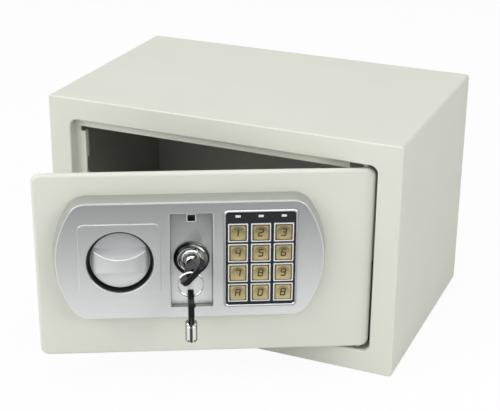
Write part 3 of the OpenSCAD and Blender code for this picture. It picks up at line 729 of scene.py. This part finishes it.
def door_plate():
    """Thick plate with rounded front edges."""
    solid = Solid()
    edge = 2.6

    def outline(grow):
        return rounded_rect(DOOR_W + 2 * grow, DOOR_H + 2 * grow, DOOR_R + grow, (DOOR_W / 2, DOOR_Z), 10)

    layers = [(DOOR_T, -0.4), (DOOR_T - 0.4, 0)] + fillet(DOOR_T, 0, 0, edge, 7)
    solid.skin([solid.loop(outline(grow), y) for y, grow in layers])
    solid.piece("door_face", "door", "cream_paint", "door_plate", "cream_paint")


# Finishes of the control panel, in the order of its slots: the face, the sides with painted shade and reflection,
# the edges with a painted highlight, the recess walls with painted shade, and the tray with painted shade that
# clears towards its foot
FACE, SIDE_SHADED, EDGE_HIGHLIGHT, SHADE, TRAY_SHADED = range(5)
PANEL_FINISHES = "silver_plastic panel_side panel_edge panel_shade recess_floor"


def control_panel():
    """Hollow silver moulding: drafted sides, pad and well for the knob, recess, keypad window."""
    solid = Solid()
    ceiling = -PANEL_T + PANEL_WALL
    outside = [(0, PANEL_DRAFT), (-PANEL_T + 1.2, 0.25)] + fillet(0, -PANEL_T, 0.1, 1.1, 5)[1:]
    outer = [solid.loop(panel_outline(g), y) for y, g in outside]
    # The drafted sides take painted shade, and the edge fillet takes a painted highlight.
    solid.bands(outer, tints=(SIDE_SHADED, SIDE_SHADED, SIDE_SHADED, SIDE_SHADED, EDGE_HIGHLIGHT, EDGE_HIGHLIGHT, EDGE_HIGHLIGHT))
    inner = [solid.loop(panel_outline(g), y)
             for y, g in ((0, PANEL_DRAFT - PANEL_WALL), (ceiling, -PANEL_WALL))]
    solid.bands(inner)
    solid.band(inner[0], outer[0])
    holes = [knob_well(solid, ceiling), lock_recess(solid, ceiling), keypad_window(solid, ceiling)]
    solid.fill(outer[-1], *[face for face, _ in holes])
    solid.fill(inner[-1], *[under for _, under in holes])
    solid.piece("silver_panel", "door", PANEL_FINISHES, "control_panel", "silver_plastic")


def knob_well(solid, ceiling):
    """Raised pad that fades into the face, and the well in it. Returns its two bounding loops."""
    centre = (KNOB_S, KNOB_Z)
    mid = ((PAD_S[0] + PAD_S[1]) / 2, (PAD_Z[0] + PAD_Z[1]) / 2)
    w, h = PAD_S[1] - PAD_S[0], PAD_Z[1] - PAD_Z[0]

    def lift(share):
        return lambda x, z: -PANEL_T - share * PAD_RISE * max((z - PAD_Z[0]) / h, 0.02)

    def pad(grow):
        return rounded_rect(w + 2 * grow, h + 2 * grow, 5 + grow, mid)

    steps = ((0.7, 0.0), (0.45, 0.15), (0.2, 0.55), (0.0, 0.88), (-0.4, 1.0))
    loops = [solid.loop(pad(g), lift(share)) for g, share in steps]
    # Painted highlight on one step of the pad's rise.
    solid.bands(loops, tints=(FACE, FACE, EDGE_HIGHLIGHT, FACE))
    rim = solid.loop(circle(WELL_R + WELL_ROUND, centre), lift(1.0))
    solid.fill(loops[-1], rim)
    well = [rim]
    for a in quarter(5)[1:]:
        drop = 2.2 * (1 - math.cos(a))
        well.append(solid.loop(circle(WELL_R + WELL_ROUND * (1 - math.sin(a)), centre),
                               lambda x, z, drop=drop: lift(1.0)(x, z) + drop))
    for r, y in ((WELL_R, -WELL_FLOOR), (5.0, -WELL_FLOOR), (5.0, -2.0), (WELL_R + 1.6, -2.0),
                 (WELL_R + 1.6, ceiling)):
        well.append(solid.loop(circle(r, centre), y))
    solid.bands(well)
    return loops[0], well[-1]


def lock_recess(solid, ceiling):
    """Sunk tray with holes for the lock and the cover's catch. Returns its two bounding loops."""
    centre = (LOCK_S, RECESS_Z)

    def tray(grow):
        return rounded_rect(RECESS_W + 2 * grow, RECESS_H + 2 * grow, 1.2 + grow, centre)

    def openings(y, y_catch):
        lock = solid.loop(circle(LOCK_HOLE_R, (LOCK_S, LOCK_Z)), y)
        catch = solid.loop(rounded_rect(6.1, 5.4, 0.3, (CATCH_S, CATCH_Z)), y_catch)
        return lock, catch

    down = [(-PANEL_T, 0.6), (-PANEL_T + 0.15, 0.2), (-PANEL_T + 0.6, 0), (-RECESS_FLOOR - 0.5, 0),
            (-RECESS_FLOOR - 0.12, -0.12), (-RECESS_FLOOR, -0.5)]
    loops = [solid.loop(tray(g), y) for y, g in down]
    # Painted highlight on the recess's rim chamfer, painted shade on its walls and lower round.
    solid.bands(loops, tints=(EDGE_HIGHLIGHT, EDGE_HIGHLIGHT, SHADE, SHADE, SHADE))
    outer_lock, outer_catch = openings(-RECESS_FLOOR, -RECESS_FLOOR - 0.5)
    rim = solid.loop(rounded_rect(7.9, 7.2, 0.9, (CATCH_S, CATCH_Z)), -RECESS_FLOOR)
    rim_top = solid.loop(rounded_rect(7.3, 6.6, 0.7, (CATCH_S, CATCH_Z)), -RECESS_FLOOR - 0.5)
    # The tray floor takes the painted shade and light gradient.
    solid.fill(loops[-1], outer_lock, rim, tint=TRAY_SHADED)
    # Painted highlight on the catch's rim.
    solid.bands([rim, rim_top, outer_catch], tints=(EDGE_HIGHLIGHT, EDGE_HIGHLIGHT))
    beneath = -RECESS_FLOOR + RECESS_T
    inner_lock, inner_catch = openings(beneath, beneath)
    solid.band(outer_lock, inner_lock)
    solid.band(outer_catch, inner_catch)
    under = [solid.loop(tray(RECESS_T), y) for y in (beneath, ceiling)]
    solid.fill(under[0], inner_lock, inner_catch)
    solid.bands(under)
    return loops[0], under[-1]


def keypad_window(solid, ceiling):
    """Stepped window that the keypad sits in. Returns its two bounding loops."""
    centre = (KEYPAD_S, KEYPAD_Z)
    steps = ((KEYPAD_W + 0.6, KEYPAD_H + 0.6, -PANEL_T),
             (KEYPAD_W + 0.6, KEYPAD_H + 0.6, -PANEL_T + 1),
             (51.6, 75.0, -PANEL_T + 1), (51.6, 75.0, ceiling))
    loops = [solid.loop(rounded_rect(w, h, 3.0, centre), y) for w, h, y in steps]
    solid.bands(loops)
    return loops[0], loops[-1]


def keypad_bezel():
    """Raised chamfered frame round the keypad."""
    solid = Solid()
    centre = (KEYPAD_S, KEYPAD_Z)
    y0 = -PANEL_T - 0.02
    steps = ((57.5, 82.8, 3.5, y0), (57.3, 82.6, 3.4, y0 - 0.35), (56.9, 82.2, 3.2, y0 - 0.8),
             (56.3, 81.6, 3.0, y0 - 1.12), (55.6, 80.9, 2.8, y0 - 1.25), (54.9, 80.2, 2.6, y0 - 1.2),
             (54.2, 79.4, 2.4, y0 - 0.95), (53.6, 78.7, 2.3, y0 - 0.5), (53.2, 78.2, 2.2, y0))
    solid.bands([solid.loop(rounded_rect(w, h, r, centre), y) for w, h, r, y in steps], closed=True)
    solid.piece("keypad_frame", "door", "bezel_silver", "keypad_bezel", "silver_plastic", sharp=50)


def key_centres():
    """(name, s, z) of every key, row by row from the top left."""
    return [(name, KEY_S + (i % 3 - 1) * KEY_DX, KEY_Z + (1.5 - i // 3) * KEY_DZ)
            for i, name in enumerate(KEY_NAMES)]


def keypad_overlay():
    """Dark front film with its key and lamp windows."""
    solid = Solid()
    top, back = -FILM_TOP, -PANEL_T + 1

    def rows(y, shrink):
        outlines = [rounded_rect(KEYPAD_W - shrink, KEYPAD_H - shrink, 2.4, (KEYPAD_S, KEYPAD_Z))]
        outlines += [rounded_rect(12.8, 12.8, 0.4, (s, z), 3) for _, s, z in key_centres()]
        outlines += [rounded_rect(4.2, 2.1, 0.2, centre, 3) for centre in LAMPS]
        return [solid.loop(outline, y) for outline in outlines]

    front, rear = rows(top, 0.3), rows(back, 0)
    solid.fill(*front)
    solid.fill(*rear)
    for a, b in zip(front, rear):
        solid.band(a, b)
    solid.piece("keypad_film", "door", "navy_panel", "keypad_overlay", "navy_panel")


def key_frames():
    """Twelve bright square frames, one round each key."""
    solid = Solid()
    steps = ((15.4, 0.6, 0.0), (15.38, 0.6, 0.6), (15.2, 0.5, 0.78), (13.6, 0.4, 0.78), (13.4, 0.35, 0.6),
             (12.9, 0.3, 0.0))
    for _, s, z in key_centres():
        loops = [solid.loop(rounded_rect(w, w, r, (s, z), 4), -FILM_TOP - up) for w, r, up in steps]
        # Painted shade on the inner slope of each frame, finish 1 (panel_shade).
        solid.bands(loops, closed=True, tints=(0, 0, 0, 0, 1))
    solid.piece("key_surrounds", "door", "key_surround panel_shade", "key_frames", "chrome")


def indicator_windows():
    """Three small lenses above the keys."""
    solid = Solid()
    steps = ((4.0, 1.9, -8.6), (4.0, 1.9, -FILM_TOP), (3.7, 1.6, -FILM_TOP - 0.18))
    for centre in LAMPS:
        solid.skin([solid.loop(rounded_rect(w, h, 0.3, centre, 3), y) for w, h, y in steps])
    solid.piece("lamp_windows", "door", "lamp_window", "indicator_windows", "lamp_window")


# Strokes of the characters on a two-by-three grid, as runs of (column, row) points
CHARACTERS = {
    "1": [[(0.25, 1.75), (0.55, 2), (0.55, 0)]],
    "2": [[(0, 1.8), (0.1, 2), (1, 2), (1, 1.15), (0, 0.85), (0, 0), (1, 0)]],
    "3": [[(0.05, 2), (1, 2), (1, 0), (0, 0)], [(0.35, 1), (1, 1)]],
    "4": [[(0, 2), (0, 1), (1, 1)], [(1, 2), (1, 0)]],
    "5": [[(1, 2), (0, 2), (0, 1.08), (1, 1.0), (1, 0), (0, 0)]],
    "6": [[(1, 2), (0.1, 2), (0, 1), (0, 0), (1, 0), (1, 1), (0, 1)]],
    "7": [[(0, 1.7), (0, 2), (1, 2), (1, 0)]],
    "8": [[(0, 0), (0, 1), (0, 2), (1, 2), (1, 1), (1, 0), (0, 0)], [(0, 1), (1, 1)]],
    "9": [[(1, 1), (0, 1), (0, 2), (1, 2), (1, 0), (0, 0)]],
    "a": [[(0, 0), (0, 2), (1, 2), (1, 0)], [(0, 1), (1, 1)]],
    "0": [[(0, 0), (0, 2), (1, 2), (1, 0), (0, 0)]],
    "b": [[(0, 0), (0, 2), (1, 2), (1, 0), (0, 0)], [(0, 1), (1, 1)]],
}
DISH_R, DISH_DEPTH = 17.0, 0.9
DISH_EDGE = math.sqrt(DISH_R ** 2 - (DISH_R - DISH_DEPTH) ** 2)


def dish(x, z):
    """Depth of the key top's hollow at (x, z) from the key's centre."""
    d2 = min(x * x + z * z, DISH_EDGE ** 2)
    return math.sqrt(DISH_R ** 2 - d2) - (DISH_R - DISH_DEPTH)


def key_cap(name, s, z):
    """Square key: foot, neck, rounded shoulders and a dished top."""
    solid = Solid()

    def outline(w, r):
        return rounded_rect(w, w, r, (s, z), 4, 9)

    foot = -PANEL_T + 2.2
    top = -KEY_TOP
    steps = [(13.4, 0.6, foot), (13.4, 0.6, foot - 1), (KEY_W, 0.8, foot - 1)]
    steps += [(KEY_W - 0.6 * (1 - math.cos(a)), 0.8, top + 0.3 * (1 - math.sin(a))) for a in quarter(4)]
    loops = [solid.loop(outline(w, r), y) for w, r, y in steps]
    width = KEY_W - 0.6
    for k in range(1, 25):
        scale = 1 - k / 25
        loops.append(solid.loop(outline(width * scale, 0.8 * scale),
                                lambda x, up: top + dish(x - s, up - z)))
    solid.skin(loops)
    # Painted shade: the hollow value darkens the dish towards its upper edge and each key towards the upper rows.
    hollow = solid.bm.verts.layers.float.new("hollow")
    for vert in solid.bm.verts:
        x, up = vert.co.x - s, vert.co.z - z
        inside = vert.co.y < top + 0.95 and math.hypot(x, up) < DISH_EDGE
        lean = (z - KEYPAD_Z) / 40
        vert[hollow] = 0.46 + 0.46 * up / DISH_EDGE + 0.2 * lean if inside else 0.3 + 0.35 * lean
    solid.piece(name + "_cap", name + "_button", "gold_key", name, "gold_key", sharp=50)


def key_mark(name, character, s, z):
    """The key's character, inked on the dished top as thin raised strokes with rounded turns."""
    solid = Solid()
    wide, tall, slant, pen = 3.3, 2.75, 0.14, 0.5
    for run in CHARACTERS[character]:
        points = [Vector(((c - 0.5) * wide + slant * (r - 1) * tall, (r - 1) * tall)) for c, r in run]
        ribbon(solid, s, z, rounded_run(points, 0.75), pen)
    solid.piece(name + "_mark", name + "_button", "brown_ink", None, "gold_key")


def rounded_run(points, radius):
    """The run with its turns cut by short arcs and its straights split into short steps."""
    path = [points[0]]
    for before, corner, after in zip(points, points[1:], points[2:]):
        back, forth = (before - corner), (after - corner)
        cut = min(radius, back.length / 2, forth.length / 2)
        start, end = corner + back.normalized() * cut, corner + forth.normalized() * cut
        path += [start * (1 - t) ** 2 + corner * 2 * t * (1 - t) + end * t * t
                 for t in (k / 5 for k in range(6))]
    path.append(points[-1])
    dense = [path[0]]
    for point in path[1:]:
        gap = (point - dense[-1]).length
        if gap < 0.02:
            continue
        steps = max(1, round(gap / 0.35))
        start = dense[-1]
        dense += [start.lerp(point, k / steps) for k in range(1, steps + 1)]
    return dense


def ribbon(solid, s, z, path, pen):
    """A thin raised band along the path, laid on the dished key top."""
    rows = []
    for k, point in enumerate(path):
        along = (path[min(k + 1, len(path) - 1)] - path[max(k - 1, 0)]).normalized()
        across = Vector((-along.y, along.x)) * pen
        lows, highs = ([(s + p.x, -KEY_TOP + dish(p.x, p.y) - lift, z + p.y)
                        for p in (point - across, point + across)] for lift in (-0.06, 0.06))
        rows.append(solid.ring([lows[0], highs[0], highs[1], lows[1]]))
    solid.skin(rows)


# ---- Knob ----

def knob():
    """Flat-faced knob with a bowed, waisted grip across it."""
    solid = Solid()
    face = KNOB_FACE
    profile = [(4.0, -3.8), (KNOB_R - 0.4, -3.8), (KNOB_R, -4.2)]
    profile += [(KNOB_R - 0.5 * (1 - math.cos(a)), -face + 0.5 * (1 - math.sin(a))) for a in quarter(6)]
    profile += [(12.0, -face), (4.0, -face)]
    solid.lathe(profile, (KNOB_S, KNOB_Z), 120)
    reach, bow, waist, end, foot = KNOB_R - 0.65, 11.9, 5.6, 10.8, 4.2
    radius = (reach ** 2 + bow ** 2) / (2 * bow)
    rows = []
    steps = 64
    for k in range(steps + 1):
        x = reach * math.sin(math.pi / 2 * (2 * k / steps - 1)) * 0.995
        out = math.sqrt(radius ** 2 - x * x) - (radius - bow)
        widest = math.sqrt(reach ** 2 - x * x)
        half = min(waist + (end - waist) * (x / reach) ** 2, widest)
        spread = min(half + foot * out / bow, widest)
        rows.append(solid.ring(grip_section(KNOB_S + x, face, max(out, 0.05), half, spread)))
    solid.skin(rows)
    # Painted light: the grip's upper and lower flanks take the lighter knob finish.
    solid.bm.normal_update()
    for facet in solid.bm.faces:
        if abs(facet.normal.z) > 0.45 and facet.calc_center_median().y < -face - 0.3:
            facet.material_index = 1
    solid.piece("knob_body", "knob_assembly", "silver_knob knob_flank", "knob", "silver_plastic")


def grip_section(s, face, out, half, spread):
    """Section of the grip: hollowed sides, tight shoulders, lightly crowned front."""
    round_r = min(0.9, out * 0.5)
    side = [(spread, -1.0)]
    for k in range(9):
        t = k / 8
        side.append((half + (spread - half) * (1 - t) ** 1.7, (out - round_r) * t))
    side += [(half - round_r * (1 - math.cos(a)), out - round_r * (1 - math.sin(a))) for a in quarter(5)[1:]]
    crown = 0.3 * min(out / 3, 1)
    right = side + [(half * f, out + crown * (1 - f * f)) for f in (0.6, 0.3)]
    points = right + [(0.0, out + crown)] + [(-h, o) for h, o in reversed(right)]
    return [(s, -face - o, KNOB_Z + h) for h, o in points]


def well_shade_liner():
    """Black lining of the knob's well and its floor, a dark sheet standing in for the shade in the gap round the
    knob.
    """
    solid = Solid()
    wall, bottom = WELL_R - 0.05, -WELL_FLOOR - 0.05
    profile = [(5.2, bottom), (wall, bottom), (wall, -PANEL_T + 0.1), (wall - 0.35, -PANEL_T + 0.1),
               (wall - 0.5, bottom - 0.5), (8.2, bottom - 0.5), (8.2, bottom - 0.1), (5.2, bottom - 0.1)]
    solid.lathe(profile, (KNOB_S, KNOB_Z), 96)
    solid.piece("well_shade_liner", "door", "black_plastic", None, "black_plastic")


# ---- Lock, keys and ring ----

def lock_barrel():
    """Domed chrome head with a polished dish, on a threaded barrel."""
    solid = Solid()
    floor = RECESS_FLOOR
    head = [(9.3, floor), (13.8, floor), (14.1, floor + 0.3)]
    head += [(10.6 + 3.5 * math.cos(a), floor + 0.5 + 5.0 * math.sin(a)) for a in quarter(12)]
    head += [(10.2 - 4.0 * math.sin(a), floor + 5.45 - 3.2 * (1 - math.cos(a))) for a in quarter(8)[1:]]
    profile = [(r, -out) for r, out in head] + [(6.05, -8.3), (6.05, 13.0), (9.1, 13.0)]
    pitch, turns = 1.1, 16
    for y in (12.6 - k * pitch for k in range(turns)):
        profile += [(9.3, y), (8.9, y - pitch / 2)]
    profile += [(9.3, -4.9)]
    solid.lathe(profile, (LOCK_S, LOCK_Z), 96)
    solid.piece("lock_head", "door", "lock_chrome", "lock_barrel", "chrome")


def key_place(inserted):
    """Maps a key drawn with X across, Y from barrel to bow end, to its place on the door."""
    if inserted:
        return (DOOR @ Matrix.Translation((LOCK_S, RING_AT[1] + EYE_B, LOCK_Z))
                @ Matrix.Rotation(math.radians(-48), 4, "Y") @ Matrix.Rotation(math.pi, 4, "X"))
    return (DOOR @ Matrix.Translation((RING_AT[0], RING_AT[1], SPARE_Z))
            @ Matrix.Rotation(math.pi / 2, 4, "Z") @ Matrix.Rotation(math.pi / 2, 4, "X"))


def key_bow(name, node, body, place):
    """Moulded bow: shouldered plate with cut corners, an eye for the ring and a moulding pip."""
    solid = Solid()
    half_t, edge = BOW_T / 2, 0.35
    corners = [(6.0, 0.0), (6.0, 5.5), (10.6, 8.5), (11.5, 10.0), (11.5, BOW_L - 5.0), (10.5, BOW_L - 3.5),
               (6.5, BOW_L)]

    def outline(grow):
        right = [(x + grow, max(y + (grow if y > 20 else -grow), 0.0)) for x, y in corners]
        return right + [(-x, y) for x, y in reversed(right)]

    def eye(grow):
        return circle(EYE_R - grow, (0.0, EYE_B), 48)

    def moulding_pip(grow):
        return circle(1.5 + grow, (-8.2, EYE_B - 1.5), 20)

    def layer(shape, z, grow):
        return solid.ring([(x, y, z) for x, y in shape(grow)])

    levels = [(-half_t, -edge), (-half_t + 0.1, -edge * 0.3), (-half_t + edge, 0.0),
              (half_t - edge, 0.0), (half_t - 0.1, -edge * 0.3), (half_t, -edge)]
    walls = [[layer(shape, z, g) for z, g in levels] for shape in (outline, eye)]
    for wall in walls:
        solid.bands(wall)
    solid.fill(*[wall[0] for wall in walls])
    solid.fill(*[wall[-1] for wall in walls])
    solid.skin([layer(moulding_pip, half_t + up, g) for up, g in ((-0.2, 0.1), (0.7, 0.0), (1.0, -0.3))])
    solid.bm.normal_update()
    # Painted light: broad faces take the lighter black, the edges take the darker one.
    for face in solid.bm.faces:
        face.material_index = 0 if abs(face.normal.z) > 0.9 else 1
    solid.piece(name, body, "key_black key_edge", node, "black_plastic", place)


def key_tube(name, node, body, place):
    """Nickel tube with a stepped collar and a castellated end, on a flat tang."""
    solid = Solid()
    r, length = TUBE_R, TUBE_L
    profile = [(3.0, -length), (r - 0.15, -length), (r, 0.15 - length), (r, -3.2), (r - 0.5, -2.8),
               (r - 0.5, -2.2), (r, -1.8), (r, -0.4), (r - 0.3, -0.05), (0.6, -0.05), (0.6, -4.0),
               (3.0, -4.0)]
    solid.lathe(profile, (0.0, 0.0), 64)
    solid.box((-6.2, 6.2), (-0.4, 5.6), (-0.7, 0.7))
    tube = solid.piece(name, body, "nickel", node, "chrome", place)
    notches = Solid()
    for k in range(6):
        turn = math.radians(30 + 60 * k)
        x, z = r * math.cos(turn), r * math.sin(turn)
        notches.box((x - 0.7, x + 0.7), (-length - 1, 1.9 - length), (z - 0.7, z + 0.7))
    cut_out(tube, notches, place)


def split_ring():
    """Two touching turns of wire with a step between them."""
    solid = Solid()
    centre = Vector(RING_AT)
    sides, steps = 12, 192
    rows = []
    for k in range(steps + 1):
        t = k / steps
        turn = 4 * math.pi * t + math.pi * 0.15
        step = min(max((t - 0.46) / 0.08, 0), 1)
        shift = WIRE_R * (-1 + 2 * (step * step * (3 - 2 * step))) * 0.98
        out = Vector((math.cos(turn), 0, math.sin(turn)))
        spot = centre + out * RING_R + Vector((0, shift, 0))
        rows.append(solid.ring([spot + out * WIRE_R * math.cos(a) + Vector((0, WIRE_R * math.sin(a), 0))
                                for a in (2 * math.pi * j / sides for j in range(sides))]))
    solid.skin(rows)
    solid.piece("key_ring", "ring", "nickel", "split_ring", "chrome")


def cover_catch():
    """Square black socket for the lock cover's catch."""
    solid = Solid()
    centre = (CATCH_S, CATCH_Z)
    steps = ((5.9, 5.2, -2.0), (5.9, 5.2, -RECESS_FLOOR - 0.1), (4.9, 4.2, -RECESS_FLOOR - 0.1),
             (4.6, 3.9, -2.8))
    solid.skin([solid.loop(rounded_rect(w, h, 0.3, centre, 4), y) for w, h, y in steps])
    solid.piece("catch_socket", "door", "black_plastic", "cover_catch", "black_plastic")


# ---- Carried-over CAD nodes ----

def dress_cad_nodes():
    """Gives each CAD node still shown its finish and soft edges."""
    fine = {"wiring", "solenoid_spring", "batteries"}
    for name, node in NODES.items():
        if node.hide_render:
            continue
        node.data.materials.clear()
        # The back panel's cream has painted shade on its inner face.
        node.data.materials.append(FINISH["back_paint_shaded_inside" if name == "back_panel" else SLOTS[name]])
        weld = node.modifiers.new("weld", "WELD")
        weld.merge_threshold = 0.002 * MM
        if name not in fine:
            add_bevel(node, 0.25)
        even_normals(node)


# ---- Stage ----

def stage():
    """The floor under the safe."""
    solid = Solid()
    far = FLOOR_W / 2
    solid.cap(solid.ring([(-far, -far, 0), (far, -far, 0), (far, far, 0), (-far, far, 0)]))
    floor = solid.mesh_object("floor", CABINET)
    plain_floor("floor_white", grey(0.90))
    floor.data.materials.append(FINISH["floor_white"])


def lights():
    """Soft boxes aimed at the safe, in an evenly lit studio."""
    scene = bpy.context.scene
    scene.world = studio_world(WORLD_LIGHT)
    for name, place, size, power in LIGHTS:
        light = bpy.data.lights.new(name, "AREA")
        light.shape = "RECTANGLE"
        light.size, light.size_y = size
        light.energy = power
        lamp = link(name, light)
        lamp.location = place
        lamp.rotation_euler = (LIT_SPOT - Vector(place)).to_track_quat("-Z", "Y").to_euler()
    scene.view_settings.view_transform = "Standard"


def studio_world(strength):
    """Even white light; mirror-like surfaces see it bright above and grey at the horizon."""
    world = bpy.data.worlds.new("studio")
    graph = Graph(world)
    path = graph.node("LightPath").outputs
    height = graph.axis(graph.node("TexCoord").outputs["Generated"], "Z")
    seen = graph.ramp(height, (0.0, grey(0.10)), (0.3, grey(0.25)), (0.7, grey(1.0)))
    total = strength
    for ray, level in (("Is Camera Ray", 1.0), ("Is Glossy Ray", 1.6)):
        total = graph.math("MULTIPLY_ADD", path[ray], level - strength, total)
    back = graph.nodes["Background"]
    graph.put(graph.mix(path["Is Glossy Ray"], grey(1.0), seen), back.inputs["Color"])
    graph.put(total, back.inputs["Strength"])
    return world


def camera():
    """Looks down at the open door from the right; fitted to the cabinet's edges in the photo."""
    data = bpy.data.cameras.new("camera")
    data.lens = CAMERA_LENS
    data.sensor_width = 36.0
    data.clip_start, data.clip_end = 0.05, 50
    cam = link("camera", data)
    right = Vector((0.92136, 0.38861, 0.00756))
    down = Vector((0.15945, -0.36015, -0.91916))
    ahead = Vector((-0.35448, 0.84809, -0.3938))
    turn = Matrix((right, -down, -ahead)).transposed()
    cam.matrix_world = Matrix.Translation(CAMERA_AT) @ turn.to_4x4()
    bpy.context.scene.camera = cam


# ---- Assembly ----

outer_shell()
front_frame()
floor_mat()
door_plate()
control_panel()
keypad_bezel()
keypad_overlay()
key_frames()
indicator_windows()
for label, key_s, key_z in key_centres():
    key_cap("key_" + label, key_s, key_z)
    key_mark("key_" + label, label, key_s, key_z)
knob()
well_shade_liner()
lock_barrel()
for key, key_body, inserted in (("inserted_key", "lock_core", True), ("spare_key", "spare_key", False)):
    key_bow(key + "_head", key + "_bow", key_body, key_place(inserted))
    key_tube(key + "_barrel", key + "_tube", key_body, key_place(inserted))
split_ring()
cover_catch()
dress_cad_nodes()
stage()
lights()
camera()
